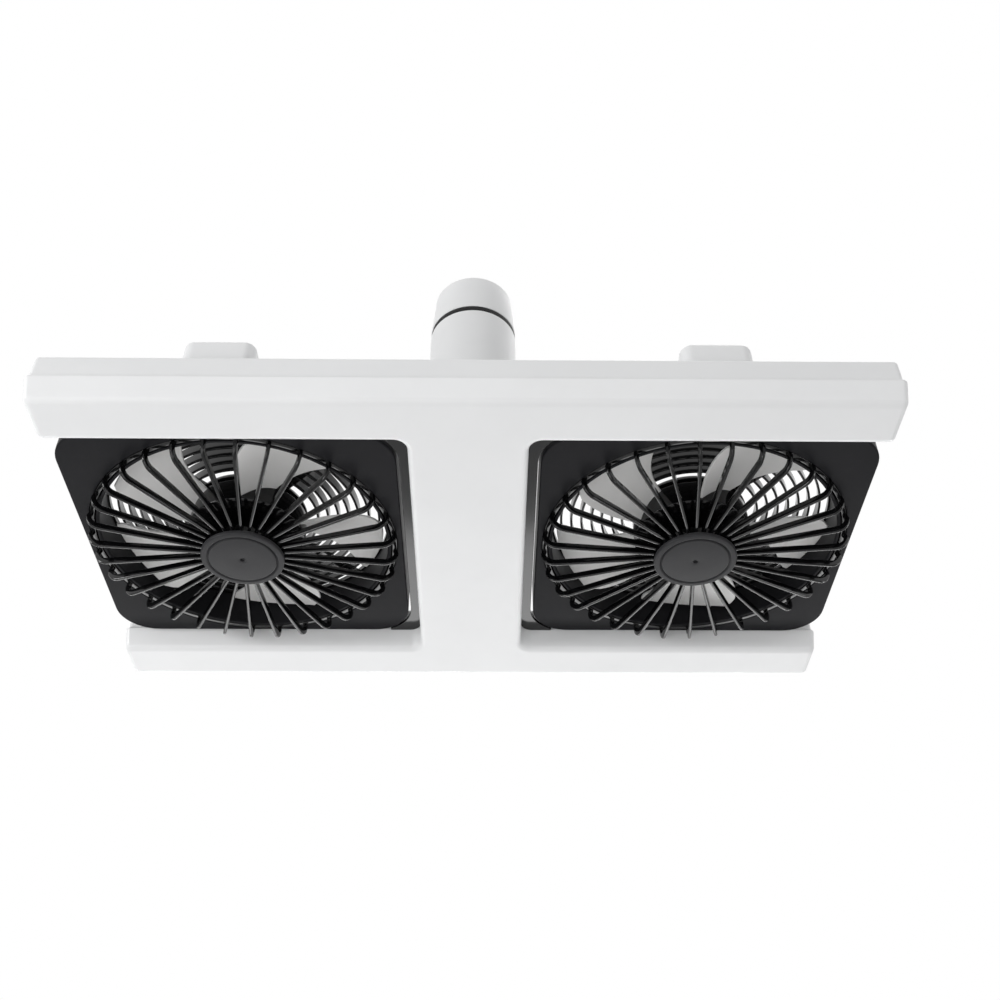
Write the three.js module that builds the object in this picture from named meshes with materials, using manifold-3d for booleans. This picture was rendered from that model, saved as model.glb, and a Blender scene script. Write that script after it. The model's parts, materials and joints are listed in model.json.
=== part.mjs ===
// A ceiling fan with two square heads, hung from a lampholder by its own screw cap.
// An H-shaped housing of two rails and a centre strip hangs on a post. Each head tilts
// between the rails on two pins and holds an axial fan behind a wire-like guard.
// Millimetres, +Z up, X along the rails. The origin is the tip of the cap's contact.
import * as THREE from 'three';
import { mergeVertices } from 'three/addons/utils/BufferGeometryUtils.js';
import Module from 'manifold-3d';

const wasm = await Module();
wasm.setup();

// ---- Driving dimensions: housing ----
const LENGTH = 360;            // rails, along X
const DEPTH = 210;             // across both rails, along Y
const RAIL_WIDTH = 31;         // one rail at its widest
const STRIP_WIDTH = 51.6;      // centre strip, with upright sides
const SIDE_HEIGHT = 11.6;      // upright part of the sides, upper shell
const CHAMFER_RISE = 11.4;     // height of the sloping sides, lower cover
const CHAMFER_RUN = 4;         // how far the slope comes in
const EDGE_ROUND = 1.6;        // setback of the rounded lower edge
const BAY_CORNER = 6;          // corner radius of a bay at the seam
const RAIL_CORNER = 2;         // corner radius of a rail's end
const HOUSING_WALL = 2.2;
const SEAM = 0.2;              // parting line between cover and shell
const CABLE_HOLE_RADIUS = 8;   // from the post into the strip
const EASE = 0.8;              // small bevel on outer edges
const ROUND_SHARE = 0.3;       // where a rounded edge's middle line lies, as a share of its radius
const SNUG = 0.1;              // gap between pieces that are pressed or screwed together
const OVERCUT = 1;             // how far a cut runs past the face that it opens

// ---- Driving dimensions: post, swivel, crown and cap ----
const POST_LENGTH = 129;       // from the housing's top to the black ring
const POST_RADIUS = 23.4;
const POST_WALL = 2.2;
const POST_TOP_THICKNESS = 4;
const FOOT_FLARE = 0.7;        // the foot is this much wider than the post
const FOOT_HEIGHT = 4;
const RING_HEIGHT = 3.6;       // black ring under the crown
const RING_RECESS = 0.7;       // how far the ring sits back
const CROWN_HEIGHT = 27.2;
const CROWN_TAPER = 2;         // the rim is this much smaller in radius
const CROWN_WALL = 2.4;
const CROWN_FLOOR = 3;
const CROWN_SHOULDER = 2.6;    // rounding of the crown's rim
const CROWN_LIP = 0.6;         // fall of the rim towards the cup
const CUP_DEPTH = 9;           // the crown stands this far up round the cap
const SWIVEL_RADIUS = 9;       // hollow threaded tube, outside
const SWIVEL_BORE = 6.5;
const SWIVEL_TAIL = 3;         // tube below its nut
const SWIVEL_NUT_ACROSS = 26;
const SWIVEL_NUT_HEIGHT = 5;
const CAP_RADIUS = 13.1;       // screw shell, over its thread
const CAP_SHELL_HEIGHT = 19;
const CAP_WALL = 0.9;
const CAP_NECK_STEP = 1.1;     // the plain neck is this much smaller than the thread
const CAP_NECK_HEIGHT = 3;
const CAP_SHOULDER = 2;        // height of the shell's drawn-in top
const CAP_SHOULDER_STEP = 1.2;
const CAP_CONE_HEIGHT = 7;     // glass insulator above the shell
const CAP_CONE_TIP_RADIUS = 6.2;
const CONTACT_RADIUS = 4.7;
const CONTACT_HEIGHT = 3.2;
const CONTACT_FLAT = 0.45;     // flat tip, as a share of the contact's radius

// ---- Driving dimensions: heads ----
const STRIP_GAP = 6;           // between a head and the centre strip
const END_OVERHANG = 0.8;      // a head stands past the rails' ends
const BAY_GAP = 1;             // between a head and a rail
const HEAD_CORNER = 18;
const HEAD_EDGE = 0.8;         // rounded front edge
const PANEL_RECESS = 9;        // the panel sits this far above the housing's underside
const CASE_DEPTH = 17;         // front case, without the rear plate
const CASE_WALL = 2;
const GUARD_SEAT_DEPTH = 2.6;  // groove that the guard snaps into
const GUARD_SEAT_BORDER = 1;   // least width of panel beside the groove
const DUCT_STEP = 4.9;         // the duct is this much smaller than the groove
const DUCT_WALL = 1.6;
const REAR_THICKNESS = 2.2;
const REAR_EDGE = 1;           // bevel round the rear plate

// ---- Driving dimensions: black liners of the bays ----
const LINER_GAP = 1.2;         // between a liner's edge and a head
const LINER_LEVEL = 9.6;       // a liner's flange above the housing's underside
const LINER_WALL = 1.6;
const LINER_HEIGHT = 11;
const LINER_END = 1.4;         // width of the flange where it ends

// ---- Driving dimensions: guards ----
const RIB_COUNT = 32;
const RIB_WIDTH = 2.1;
const RIB_HEIGHT = 3;
const RIB_BEND = 5.5;          // radius of a rib's outer bend
const RIB_BULGE = 0.8;         // the bends stand out past the foot ring
const GUARD_DROP = 7.2;        // from the panel down to a rib's middle
const GUARD_FIT = 0.3;         // play of the guard in its groove
const RIB_SLIM = 0.6;          // a rib's front edge, as a share of its width
const RING_MARGIN = 0.5;       // ring beside each rib's end
const HUB_RING_WIDTH = 4.6;    // ring behind the disc that the ribs run into
const BADGE_RADIUS = 19.5;     // plain disc at the guard's centre
const BADGE_THICKNESS = 2;
const BADGE_GROOVE = 2.6;      // from the disc's rim to its groove
const GROOVE_WIDTH = 1;
const GROOVE_DEPTH = 0.6;
const BADGE_STEP = 0.2;        // the disc's border lies back from its face by this
const BADGE_EDGE = 0.6;
const REAR_RING_PITCH = 7.4;
const REAR_RING_WIDTH = 1.4;
const REAR_SPOKES = 4;
const REAR_SPOKE_WIDTH = 4;

// ---- Driving dimensions: fan and motor ----
const HUB_RADIUS = 26;
const HUB_HEIGHT = 13;
const HUB_WALL = 1.6;
const HUB_FLANGE = 2;          // hub's front flange, ahead of the sleeve
const HUB_SETBACK = 2;         // hub's face above the panel's face
const HUB_DISH = 4;            // sloping border of the hub's face
const BLADE_COUNT = 5;
const BLADE_THICKNESS = 1.5;
const BLADE_SPAN = 46;         // degrees that a blade covers at its tip
const BLADE_ROOT_SPAN = 34;
const BLADE_SWEEP = 14;        // degrees that the tip leads the root
const BLADE_DEPTH = 9.5;       // along the axis
const BLADE_ARCH = 1.6;        // camber
const BLADE_EDGE = 0.3;        // a blade's edge, as a share of its thickness
const BLADE_TAPER = 0.25;      // loss of axial depth from root to tip
const TIP_CLEARANCE = 2.5;
const SLEEVE_WALL = 1.6;       // ring that carries the blades
const ROTOR_WALL = 2;
const ROTOR_GAP = 0.6;
const MAGNET_SETBACK = 0.7;    // magnet above the hub's floor
const MAGNET_INSET = 1;        // magnet below the hub's rim
const STATOR_HEIGHT = 7;
const WINDING_SHOULDER = 5;    // the windings fall away towards the rim over this much
const WINDING_DROP = 1.6;
const BOARD_THICKNESS = 1.4;
const BOARD_SETBACK = 0.9;     // motor's board ahead of the rear plate
const SHAFT_RADIUS = 1.5;
const BEARING_RADIUS = 4.5;
const BEARING_PROUD = 1;       // bearing past the stator
const BEARING_PLAY = 0.05;     // play of the shaft in its bearing, in radius
const FIT = 0.3;               // clearance between pieces that turn or plug in

// ---- Driving dimensions: tilt pivots ----
const PIVOT_RISE = 18.5;       // pivot axis above the housing's underside
const PIN_RADIUS = 3;
const PIN_DEPTH = 4;           // how far a pin plugs into the head
const PIN_BOSS_RADIUS = 4.6;
const PIN_CHAMFER = 0.4;
const DETENT_RADIUS = 12.5;    // notched friction disc on each pin
const DETENT_THICKNESS = 3;
const DETENT_NOTCHES = 12;     // a stop every 30 degrees
const NOTCH_DEPTH = 1;
const COLLAR_LENGTH = 2;       // shoulder on the pin each side of the disc
const COLLAR_STEP = 2;
const DETENT_INSET = 7;        // from the bay's wall to the disc
const HUMP_LENGTH = 31;        // cover over a detent, along X
const HUMP_WIDTH = 24;
const HUMP_SETBACK = 0.8;      // from the bay's wall to the hump
const HUMP_HEIGHT = 17;
const HUMP_CORNER = 5;
const HUMP_WALL = 2;
const HUMP_ROUND = 2;
const HUMP_DRAFT = 0.4;        // a hump's walls lean in by this much
const SPRING_THICKNESS = 1;
const SPRING_WIDTH = 8;
const SPRING_INSET = 2.5;      // a spring's end from the hump's inner wall

// ---- Driving dimensions: electronics in the strip ----
const DRIVER_LENGTH = 86;      // board, along Y
const DRIVER_WIDTH = 34;
const DRIVER_RISE = 3;         // board above the cover's floor
const BOARD_CORNER = 2;
const BOARD_POST_RADIUS = 2.4; // four posts under the board
const BOARD_POST_INSET = 4;    // from the board's edges
const COIL_RADIUS = 8;
const COIL_HEIGHT = 9;
const CAPACITOR_RADIUS = 5;
const CAPACITOR_LENGTH = 14;

// ---- Facets of round forms ----
const FINE = 24;
const MEDIUM = 18;
const COARSE = 12;
const ROUGH = 8;
const CORNER_STEPS = 3;

// ---- Places worked out from the sizes above, from the housing's underside up ----
const SEAM_Z = CHAMFER_RISE;
const HOUSING_TOP = CHAMFER_RISE + SIDE_HEIGHT;
const BAY_HALF = DEPTH / 2 - RAIL_WIDTH;
const STRIP_HALF = STRIP_WIDTH / 2;
const POST_TOP = HOUSING_TOP + POST_LENGTH;
const CROWN_BASE = POST_TOP + RING_HEIGHT;
const CROWN_RIM = CROWN_BASE + CROWN_HEIGHT;
const CROWN_SEAT = CROWN_RIM - CUP_DEPTH;
const CAP_SHELL_TOP = CROWN_SEAT + CAP_SHELL_HEIGHT;
const CAP_CONE_TOP = CAP_SHELL_TOP + CAP_CONE_HEIGHT;
const CONTACT_TOP = CAP_CONE_TOP + CONTACT_HEIGHT;

const HEAD_LENGTH = LENGTH / 2 - STRIP_HALF - STRIP_GAP + END_OVERHANG;
const HEAD_DEPTH = 2 * (BAY_HALF - BAY_GAP);
const HEAD_X = STRIP_HALF + STRIP_GAP + HEAD_LENGTH / 2;
const PANEL_Z = PANEL_RECESS;
const CASE_TOP = PANEL_Z + CASE_DEPTH;
const SEAT_RADIUS = Math.min(HEAD_LENGTH, HEAD_DEPTH) / 2 - GUARD_SEAT_BORDER;
const SEAT_TOP = PANEL_Z + GUARD_SEAT_DEPTH;
const DUCT_RADIUS = SEAT_RADIUS - DUCT_STEP;
const HUB_FACE = PANEL_Z + HUB_SETBACK;
const HUB_TOP = HUB_FACE + HUB_HEIGHT;
const SLEEVE_BOTTOM = HUB_FACE + HUB_FLANGE;
const MOUNT_RADIUS = HUB_RADIUS + SLEEVE_WALL;
const RIB_MIDDLE = PANEL_Z - GUARD_DROP;
const GUARD_FRONT = RIB_MIDDLE - RIB_HEIGHT / 2 - RING_MARGIN;

const shell = new THREE.MeshStandardMaterial({ color: 0xe6e7e7, roughness: 0.42, metalness: 0 });
const satinBlack = new THREE.MeshStandardMaterial({ color: 0x2c2c2f, roughness: 0.5, metalness: 0 });
const glossBlack = new THREE.MeshStandardMaterial({ color: 0x17171a, roughness: 0.22, metalness: 0 });
const badgeGrey = new THREE.MeshStandardMaterial({ color: 0x3c3c3e, roughness: 0.5, metalness: 0 });
const bladeGrey = new THREE.MeshStandardMaterial({ color: 0xbebdba, roughness: 0.45, metalness: 0 });
const rubber = new THREE.MeshStandardMaterial({ color: 0x1b1b1c, roughness: 0.8, metalness: 0 });
const nickel = new THREE.MeshStandardMaterial({ color: 0xc9cbcc, roughness: 0.25, metalness: 1 });
const steel = new THREE.MeshStandardMaterial({ color: 0x9da1a5, roughness: 0.35, metalness: 1 });
const brass = new THREE.MeshStandardMaterial({ color: 0xb08d4a, roughness: 0.35, metalness: 1 });
const copper = new THREE.MeshStandardMaterial({ color: 0xa8643a, roughness: 0.4, metalness: 1 });
const glass = new THREE.MeshStandardMaterial({ color: 0x15161a, roughness: 0.12, metalness: 0 });
const boardGreen = new THREE.MeshStandardMaterial({ color: 0x1f5a3a, roughness: 0.6, metalness: 0 });

// ---- Solid helpers ----

/** Signed volume of an indexed geometry: negative when its faces point inwards. */
function signedVolume(position, index) {
  const a = new THREE.Vector3();
  const b = new THREE.Vector3();
  const c = new THREE.Vector3();
  let sum = 0;
  for (let i = 0; i < index.length; i += 3) {
    a.fromBufferAttribute(position, index[i]);
    b.fromBufferAttribute(position, index[i + 1]);
    c.fromBufferAttribute(position, index[i + 2]);
    sum += a.dot(b.cross(c)) / 6;
  }
  return sum;
}

/** Turns a closed geometry into a solid: shared corners merged, faces outwards. */
function solid(geometry) {
  const bare = geometry.clone();
  bare.deleteAttribute('normal');
  bare.deleteAttribute('uv');
  const merged = mergeVertices(bare, 1e-4);
  const source = merged.index.array;
  const triangles = [];
  for (let i = 0; i < source.length; i += 3) {
    const [a, b, c] = [source[i], source[i + 1], source[i + 2]];
    if (a !== b && b !== c && c !== a) {
      triangles.push(a, b, c);
    }
  }
  if (signedVolume(merged.attributes.position, triangles) < 0) {
    for (let i = 0; i < triangles.length; i += 3) {
      [triangles[i + 1], triangles[i + 2]] = [triangles[i + 2], triangles[i + 1]];
    }
  }
  return new wasm.Manifold(new wasm.Mesh({
    numProp: 3,
    vertProperties: new Float32Array(merged.attributes.position.array),
    triVerts: new Uint32Array(triangles),
  }));
}

/** One named piece of the model from a solid. */
function piece(name, body, material) {
  const mesh = body.getMesh();
  const geometry = new THREE.BufferGeometry();
  geometry.setAttribute('position', new THREE.BufferAttribute(new Float32Array(mesh.vertProperties), 3));
  geometry.setIndex(new THREE.BufferAttribute(new Uint32Array(mesh.triVerts), 1));
  geometry.computeVertexNormals();
  const part = new THREE.Mesh(geometry, material);
  part.name = name;
  return part;
}

const join = (first, ...others) => others.reduce((body, other) => body.add(other), first);
const cut = (first, ...others) => others.reduce((body, other) => body.subtract(other), first);

/** Revolves a closed profile of [radius, height] pairs about Z. */
function turned(profile, segments) {
  const points = [...profile, profile[0]].map(([radius, height]) => new THREE.Vector2(radius, height));
  return solid(new THREE.LatheGeometry(points, segments).rotateX(Math.PI / 2));
}

/** Upright cylinder between two heights, at an optional place. */
function rod(radius, bottom, top, segments, x = 0, y = 0) {
  const geometry = new THREE.CylinderGeometry(radius, radius, top - bottom, segments);
  return solid(geometry.rotateX(Math.PI / 2).translate(x, y, (top + bottom) / 2));
}

/** Cylinder along Y between two depths, at a height. */
function crossRod(radius, from, to, height, segments) {
  const geometry = new THREE.CylinderGeometry(radius, radius, Math.abs(to - from), segments);
  return solid(geometry.translate(0, (from + to) / 2, height));
}

/** Box given by its centre in X and Y, its sizes and its bottom. */
function block(x, y, bottom, sizeX, sizeY, height) {
  return solid(new THREE.BoxGeometry(sizeX, sizeY, height).translate(x, y, bottom + height / 2));
}

/**
 * Skins rings of equal length, one after the other. With `closed` the last ring joins
 * the first; otherwise the two end rings are filled in.
 */
function lofted(rings, closed = false) {
  const count = rings[0].length;
  const corners = rings.flat();
  const triangles = [];
  const spans = closed ? rings.length : rings.length - 1;
  for (let r = 0; r < spans; r += 1) {
    const low = r * count;
    const high = ((r + 1) % rings.length) * count;
    for (let i = 0; i < count; i += 1) {
      const next = (i + 1) % count;
      triangles.push(low + i, low + next, high + next);
      triangles.push(low + i, high + next, high + i);
    }
  }
  if (!closed) {
    const last = (rings.length - 1) * count;
    for (const [a, b, c] of THREE.ShapeUtils.triangulateShape(rings[0], [])) {
      triangles.push(a, c, b);
    }
    for (const [a, b, c] of THREE.ShapeUtils.triangulateShape(rings[rings.length - 1], [])) {
      triangles.push(last + a, last + b, last + c);
    }
  }
  const geometry = new THREE.BufferGeometry().setFromPoints(corners);
  geometry.setIndex(triangles);
  return solid(geometry);
}

/** Rounds every corner of a polygon of {x, y, radius} corners, in order. */
function rounded(corners, steps) {
  const outline = [];
  corners.forEach((corner, i) => {
    const here = new THREE.Vector2(corner.x, corner.y);
    const before = corners[(i + corners.length - 1) % corners.length];
    const after = corners[(i + 1) % corners.length];
    const back = new THREE.Vector2(before.x, before.y).sub(here).normalize();
    const ahead = new THREE.Vector2(after.x, after.y).sub(here).normalize();
    const start = here.clone().addScaledVector(back, corner.radius);
    const middle = start.clone().addScaledVector(ahead, corner.radius);
    for (let k = 0; k <= steps; k += 1) {
      const turn = (k / steps) * (Math.PI / 2);
      outline.push(middle.clone()
        .addScaledVector(ahead, -corner.radius * Math.cos(turn))
        .addScaledVector(back, -corner.radius * Math.sin(turn)));
    }
  });
  return outline;
}

const lift = (outline, height) => outline.map((point) => new THREE.Vector3(point.x, point.y, height));

/** Rounded rectangle about a centre in Y. */
function roundedRectangle(length, width, radius, centreY = 0) {
  const x = length / 2;
  const y = width / 2;
  const corners = [[-x, -y], [x, -y], [x, y], [-x, y]];
  return rounded(corners.map(([cx, cy]) => ({ x: cx, y: cy + centreY, radius })), CORNER_STEPS);
}

// ---- Housing ----

/** The H outline with the rails' sides, the rails' ends and the strip's sides brought in. */
function housingOutline(inset, endInset, stripInset) {
  const end = LENGTH / 2 - endInset;
  const outer = DEPTH / 2 - inset;
  const inner = BAY_HALF + inset;
  const strip = STRIP_HALF - stripInset;
  const convex = Math.max(RAIL_CORNER - endInset, RAIL_CORNER / 4);
  const concave = BAY_CORNER + stripInset;
  const quarter = [[end, outer, convex], [end, inner, convex], [strip, inner, concave]];
  const mirrored = [...quarter].reverse();
  const corners = [
    ...quarter.map(([x, y, radius]) => ({ x, y: -y, radius })),
    ...mirrored.map(([x, y, radius]) => ({ x, y, radius })),
    ...quarter.map(([x, y, radius]) => ({ x: -x, y, radius })),
    ...mirrored.map(([x, y, radius]) => ({ x: -x, y: -y, radius })),
  ];
  return rounded(corners, CORNER_STEPS);
}

const slopeInset = (height) => CHAMFER_RUN * (1 - height / CHAMFER_RISE);

/** Dished lower half: flat underside, sloping sides and four pads that meet the shell. */
function lowerCover() {
  const rim = SEAM_Z - SEAM / 2;
  const rings = [
    lift(housingOutline(CHAMFER_RUN + EDGE_ROUND, EDGE_ROUND / 2, EDGE_ROUND), 0),
    lift(housingOutline(slopeInset(EDGE_ROUND / 2) + EDGE_ROUND / 4, 0, EDGE_ROUND / 4), EDGE_ROUND / 3),
    lift(housingOutline(slopeInset(EDGE_ROUND), 0, 0), EDGE_ROUND),
    lift(housingOutline(slopeInset(rim), 0, 0), rim),
    lift(housingOutline(slopeInset(rim) + HOUSING_WALL, HOUSING_WALL, HOUSING_WALL), rim),
    lift(housingOutline(slopeInset(HOUSING_WALL) + HOUSING_WALL, HOUSING_WALL, HOUSING_WALL),
      HOUSING_WALL),
  ];
  const body = lofted(rings);
  const postX = DRIVER_WIDTH / 2 - BOARD_POST_INSET;
  const postY = DRIVER_LENGTH / 2 - BOARD_POST_INSET;
  const feet = [[-postX, -postY], [postX, -postY], [-postX, postY], [postX, postY]]
    .map(([x, y]) => rod(BOARD_POST_RADIUS, HOUSING_WALL / 2, HOUSING_WALL + DRIVER_RISE,
      ROUGH, x, y));
  return piece('lower_cover', join(body, ...feet), shell);
}

/** Upper half: upright sides and a flat top, open to the post, the detents and the pins. */
function upperShell() {
  const base = SEAM_Z + SEAM / 2;
  const inside = HOUSING_TOP - HOUSING_WALL;
  const level = (inset, height) => lift(housingOutline(inset, inset, inset), height);
  const rings = [
    level(HOUSING_WALL, inside),
    level(HOUSING_WALL, base),
    level(0, base),
    level(0, HOUSING_TOP - EDGE_ROUND),
    level(EDGE_ROUND * ROUND_SHARE, HOUSING_TOP - EDGE_ROUND * ROUND_SHARE),
    level(EDGE_ROUND, HOUSING_TOP),
  ];
  const slotX = HUMP_LENGTH - 2 * HUMP_WALL;
  const slotY = DETENT_THICKNESS + 2 * (COLLAR_LENGTH + FIT);
  const openings = [rod(CABLE_HOLE_RADIUS, inside - OVERCUT, HOUSING_TOP + OVERCUT, COARSE)];
  for (const x of [-HEAD_X, HEAD_X]) {
    for (const side of [-1, 1]) {
      const hole = crossRod(PIN_RADIUS + FIT, side * (BAY_HALF - OVERCUT),
        side * (BAY_HALF + DETENT_INSET), PIVOT_RISE, COARSE);
      openings.push(hole.translate([x, 0, 0]));
      const middle = side * (BAY_HALF + DETENT_INSET + DETENT_THICKNESS / 2);
      openings.push(block(x, middle, inside - OVERCUT, slotX, slotY, HOUSING_WALL + 2 * OVERCUT));
    }
  }
  return piece('upper_shell', cut(lofted(rings), ...openings), shell);
}

/** Points of an arc about a centre, from one angle to the other. */
function arc(x, y, radius, from, to) {
  const points = [];
  for (let k = 0; k <= CORNER_STEPS; k += 1) {
    const angle = from + (k / CORNER_STEPS) * (to - from);
    points.push(new THREE.Vector2(x + radius * Math.cos(angle), y + radius * Math.sin(angle)));
  }
  return points;
}

/**
 * Black liner of a bay: an angle along the strip and round the bay's corners, whose
 * flange fills the gap beside the head. Modelled in the bay on the +X side.
 */
function bayLiner(name, turn) {
  const side = BAY_HALF - SNUG;
  const cornerX = STRIP_HALF + SNUG + BAY_CORNER;
  const cornerY = side - BAY_CORNER;
  const bend = HEAD_CORNER + LINER_GAP;
  const bendX = STRIP_HALF + STRIP_GAP + HEAD_CORNER;
  const bendY = HEAD_DEPTH / 2 - HEAD_CORNER;
  const last = Math.asin((side - LINER_END - bendY) / bend);
  const outside = arc(cornerX, cornerY, BAY_CORNER, Math.PI, Math.PI / 2);
  const inside = arc(cornerX, cornerY, BAY_CORNER - LINER_WALL, Math.PI / 2, Math.PI);
  const beside = arc(bendX, bendY, bend, Math.PI - last, Math.PI);
  const whole = (half) => {
    const mirrored = half.map(({ x, y }) => new THREE.Vector2(x, -y));
    return [...mirrored, ...half.reverse()];
  };
  const flange = whole([...outside, new THREE.Vector2(beside[0].x, side), ...beside]);
  const upright = whole([...outside, ...inside]);
  const body = join(
    lofted([lift(flange, LINER_LEVEL), lift(flange, LINER_LEVEL + LINER_WALL)]),
    lofted([lift(upright, LINER_LEVEL), lift(upright, LINER_LEVEL + LINER_HEIGHT)]),
  );
  return piece(name, body.rotate([0, 0, turn]), glossBlack);
}

/** Raised cover on a rail over one tilt detent, hollow from below. */
function detentHump(name, x, side) {
  const centre = side * (BAY_HALF + HUMP_SETBACK + HUMP_WIDTH / 2);
  const level = (inset, height) => {
    const corner = HUMP_CORNER - Math.min(inset, HUMP_CORNER / 2);
    return lift(roundedRectangle(HUMP_LENGTH - 2 * inset, HUMP_WIDTH - 2 * inset, corner, centre), height);
  };
  const top = HOUSING_TOP + HUMP_HEIGHT;
  const rings = [
    level(HUMP_WALL, top - HUMP_WALL),
    level(HUMP_WALL, HOUSING_TOP),
    level(0, HOUSING_TOP),
    level(HUMP_DRAFT, top - HUMP_ROUND),
    level(HUMP_DRAFT + HUMP_ROUND, top),
  ];
  return piece(name, lofted(rings).translate([x, 0, 0]), shell);
}

/** Leaf spring under a hump's ceiling, its bowed middle just over the detent's notches. */
function detentSpring(name, x, side) {
  const ceiling = HOUSING_TOP + HUMP_HEIGHT - HUMP_WALL - SNUG;
  const reach = HUMP_LENGTH / 2 - HUMP_WALL - SPRING_INSET;
  const bow = ceiling - SPRING_THICKNESS - (PIVOT_RISE + DETENT_RADIUS + FIT);
  const steps = 6;
  const above = [];
  const below = [];
  for (let i = 0; i <= steps; i += 1) {
    const along = (2 * i) / steps - 1;
    const height = ceiling - (bow * (1 + Math.cos(Math.PI * along))) / 2;
    above.unshift(new THREE.Vector2(along * reach, height));
    below.push(new THREE.Vector2(along * reach, height - SPRING_THICKNESS));
  }
  const outline = [...below, ...above];
  const body = lofted([lift(outline, -SPRING_WIDTH / 2), lift(outline, SPRING_WIDTH / 2)]);
  const centre = side * (BAY_HALF + DETENT_INSET + DETENT_THICKNESS / 2);
  return piece(name, body.rotate([90, 0, 0]).translate([x, centre, 0]), steel);
}

/** Post on the strip: a tube with a flared foot and a thick top for the swivel. */
function post() {
  const inner = POST_RADIUS - POST_WALL;
  const foot = POST_RADIUS + FOOT_FLARE;
  const bore = SWIVEL_RADIUS + FIT;
  return piece('post', turned([
    [inner, HOUSING_TOP],
    [foot, HOUSING_TOP],
    [foot, HOUSING_TOP + FOOT_HEIGHT * 0.35],
    [foot - FOOT_FLARE * 0.75, HOUSING_TOP + FOOT_HEIGHT * 0.6],
    [POST_RADIUS, HOUSING_TOP + FOOT_HEIGHT],
    [POST_RADIUS, POST_TOP - EASE],
    [POST_RADIUS - EASE, POST_TOP],
    [bore, POST_TOP],
    [bore, POST_TOP - POST_TOP_THICKNESS],
    [inner, POST_TOP - POST_TOP_THICKNESS],
  ], FINE), shell);
}

/** Driver board and its two tall pieces in the strip. */
function electronics() {
  const floor = HOUSING_WALL + DRIVER_RISE;
  const top = floor + BOARD_THICKNESS;
  const boardOutline = roundedRectangle(DRIVER_WIDTH, DRIVER_LENGTH, BOARD_CORNER);
  const board = lofted([lift(boardOutline, floor), lift(boardOutline, top)]);
  const coil = turned([
    [COIL_RADIUS * 0.4, top],
    [COIL_RADIUS, top],
    [COIL_RADIUS * 0.85, top + COIL_HEIGHT],
    [COIL_RADIUS * 0.4, top + COIL_HEIGHT],
  ], COARSE).translate([0, -DRIVER_LENGTH / 4, 0]);
  const capacitor = crossRod(CAPACITOR_RADIUS, -CAPACITOR_LENGTH / 2, CAPACITOR_LENGTH / 2,
    top + CAPACITOR_RADIUS, COARSE).translate([0, DRIVER_LENGTH / 4, 0]);
  return [
    piece('driver_board', board, boardGreen),
    piece('driver_coil', coil, copper),
    piece('driver_capacitor', capacitor, glossBlack),
  ];
}

// ---- Crown, swivel and screw cap ----

/** White crown: a tapered cup that turns on the post and carries the cap. */
function crown() {
  const rimRadius = POST_RADIUS - CROWN_TAPER;
  const cup = rimRadius - CROWN_WALL;
  const hollow = POST_RADIUS - CROWN_WALL;
  const ceiling = CROWN_SEAT - CROWN_FLOOR;
  return piece('crown', turned([
    [hollow, CROWN_BASE],
    [POST_RADIUS - EASE, CROWN_BASE],
    [POST_RADIUS, CROWN_BASE + EASE],
    [rimRadius, CROWN_RIM - CROWN_SHOULDER],
    [rimRadius - CROWN_SHOULDER * ROUND_SHARE, CROWN_RIM - CROWN_SHOULDER * ROUND_SHARE],
    [rimRadius - CROWN_SHOULDER * (1 - ROUND_SHARE), CROWN_RIM],
    [cup, CROWN_RIM - CROWN_LIP],
    [cup, CROWN_SEAT],
    [SWIVEL_BORE, CROWN_SEAT],
    [SWIVEL_BORE, ceiling],
    [hollow - CROWN_TAPER / 2, ceiling],
  ], FINE), shell);
}

/** Black ring that shows between crown and post. */
function swivelRing() {
  const outer = POST_RADIUS - RING_RECESS;
  return piece('swivel_ring', turned([
    [SWIVEL_RADIUS + FIT, POST_TOP + SNUG],
    [outer, POST_TOP + SNUG],
    [outer, CROWN_BASE - SNUG],
    [SWIVEL_RADIUS + FIT, CROWN_BASE - SNUG],
  ], FINE), rubber);
}

/** Hollow steel tube through the post's top; the wires go down inside it. */
function swivelTube() {
  const bottom = POST_TOP - POST_TOP_THICKNESS - SWIVEL_NUT_HEIGHT - SWIVEL_TAIL;
  const top = CROWN_SEAT - CROWN_FLOOR - SNUG;
  return piece('swivel_tube', turned([
    [SWIVEL_BORE, bottom],
    [SWIVEL_RADIUS - EASE, bottom],
    [SWIVEL_RADIUS, bottom + EASE],
    [SWIVEL_RADIUS, top],
    [SWIVEL_BORE, top],
  ], COARSE), steel);
}

/** Hexagon nut that holds the post on the tube. */
function swivelNut() {
  const top = POST_TOP - POST_TOP_THICKNESS - FIT;
  const hexagon = new THREE.CylinderGeometry(
    SWIVEL_NUT_ACROSS / Math.sqrt(3), SWIVEL_NUT_ACROSS / Math.sqrt(3), SWIVEL_NUT_HEIGHT, 6);
  const body = solid(hexagon.rotateX(Math.PI / 2).translate(0, 0, top - SWIVEL_NUT_HEIGHT / 2));
  const bore = rod(SWIVEL_RADIUS + SNUG, top - SWIVEL_NUT_HEIGHT - OVERCUT, top + OVERCUT, COARSE);
  return piece('swivel_nut', cut(body, bore), brass);
}

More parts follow.
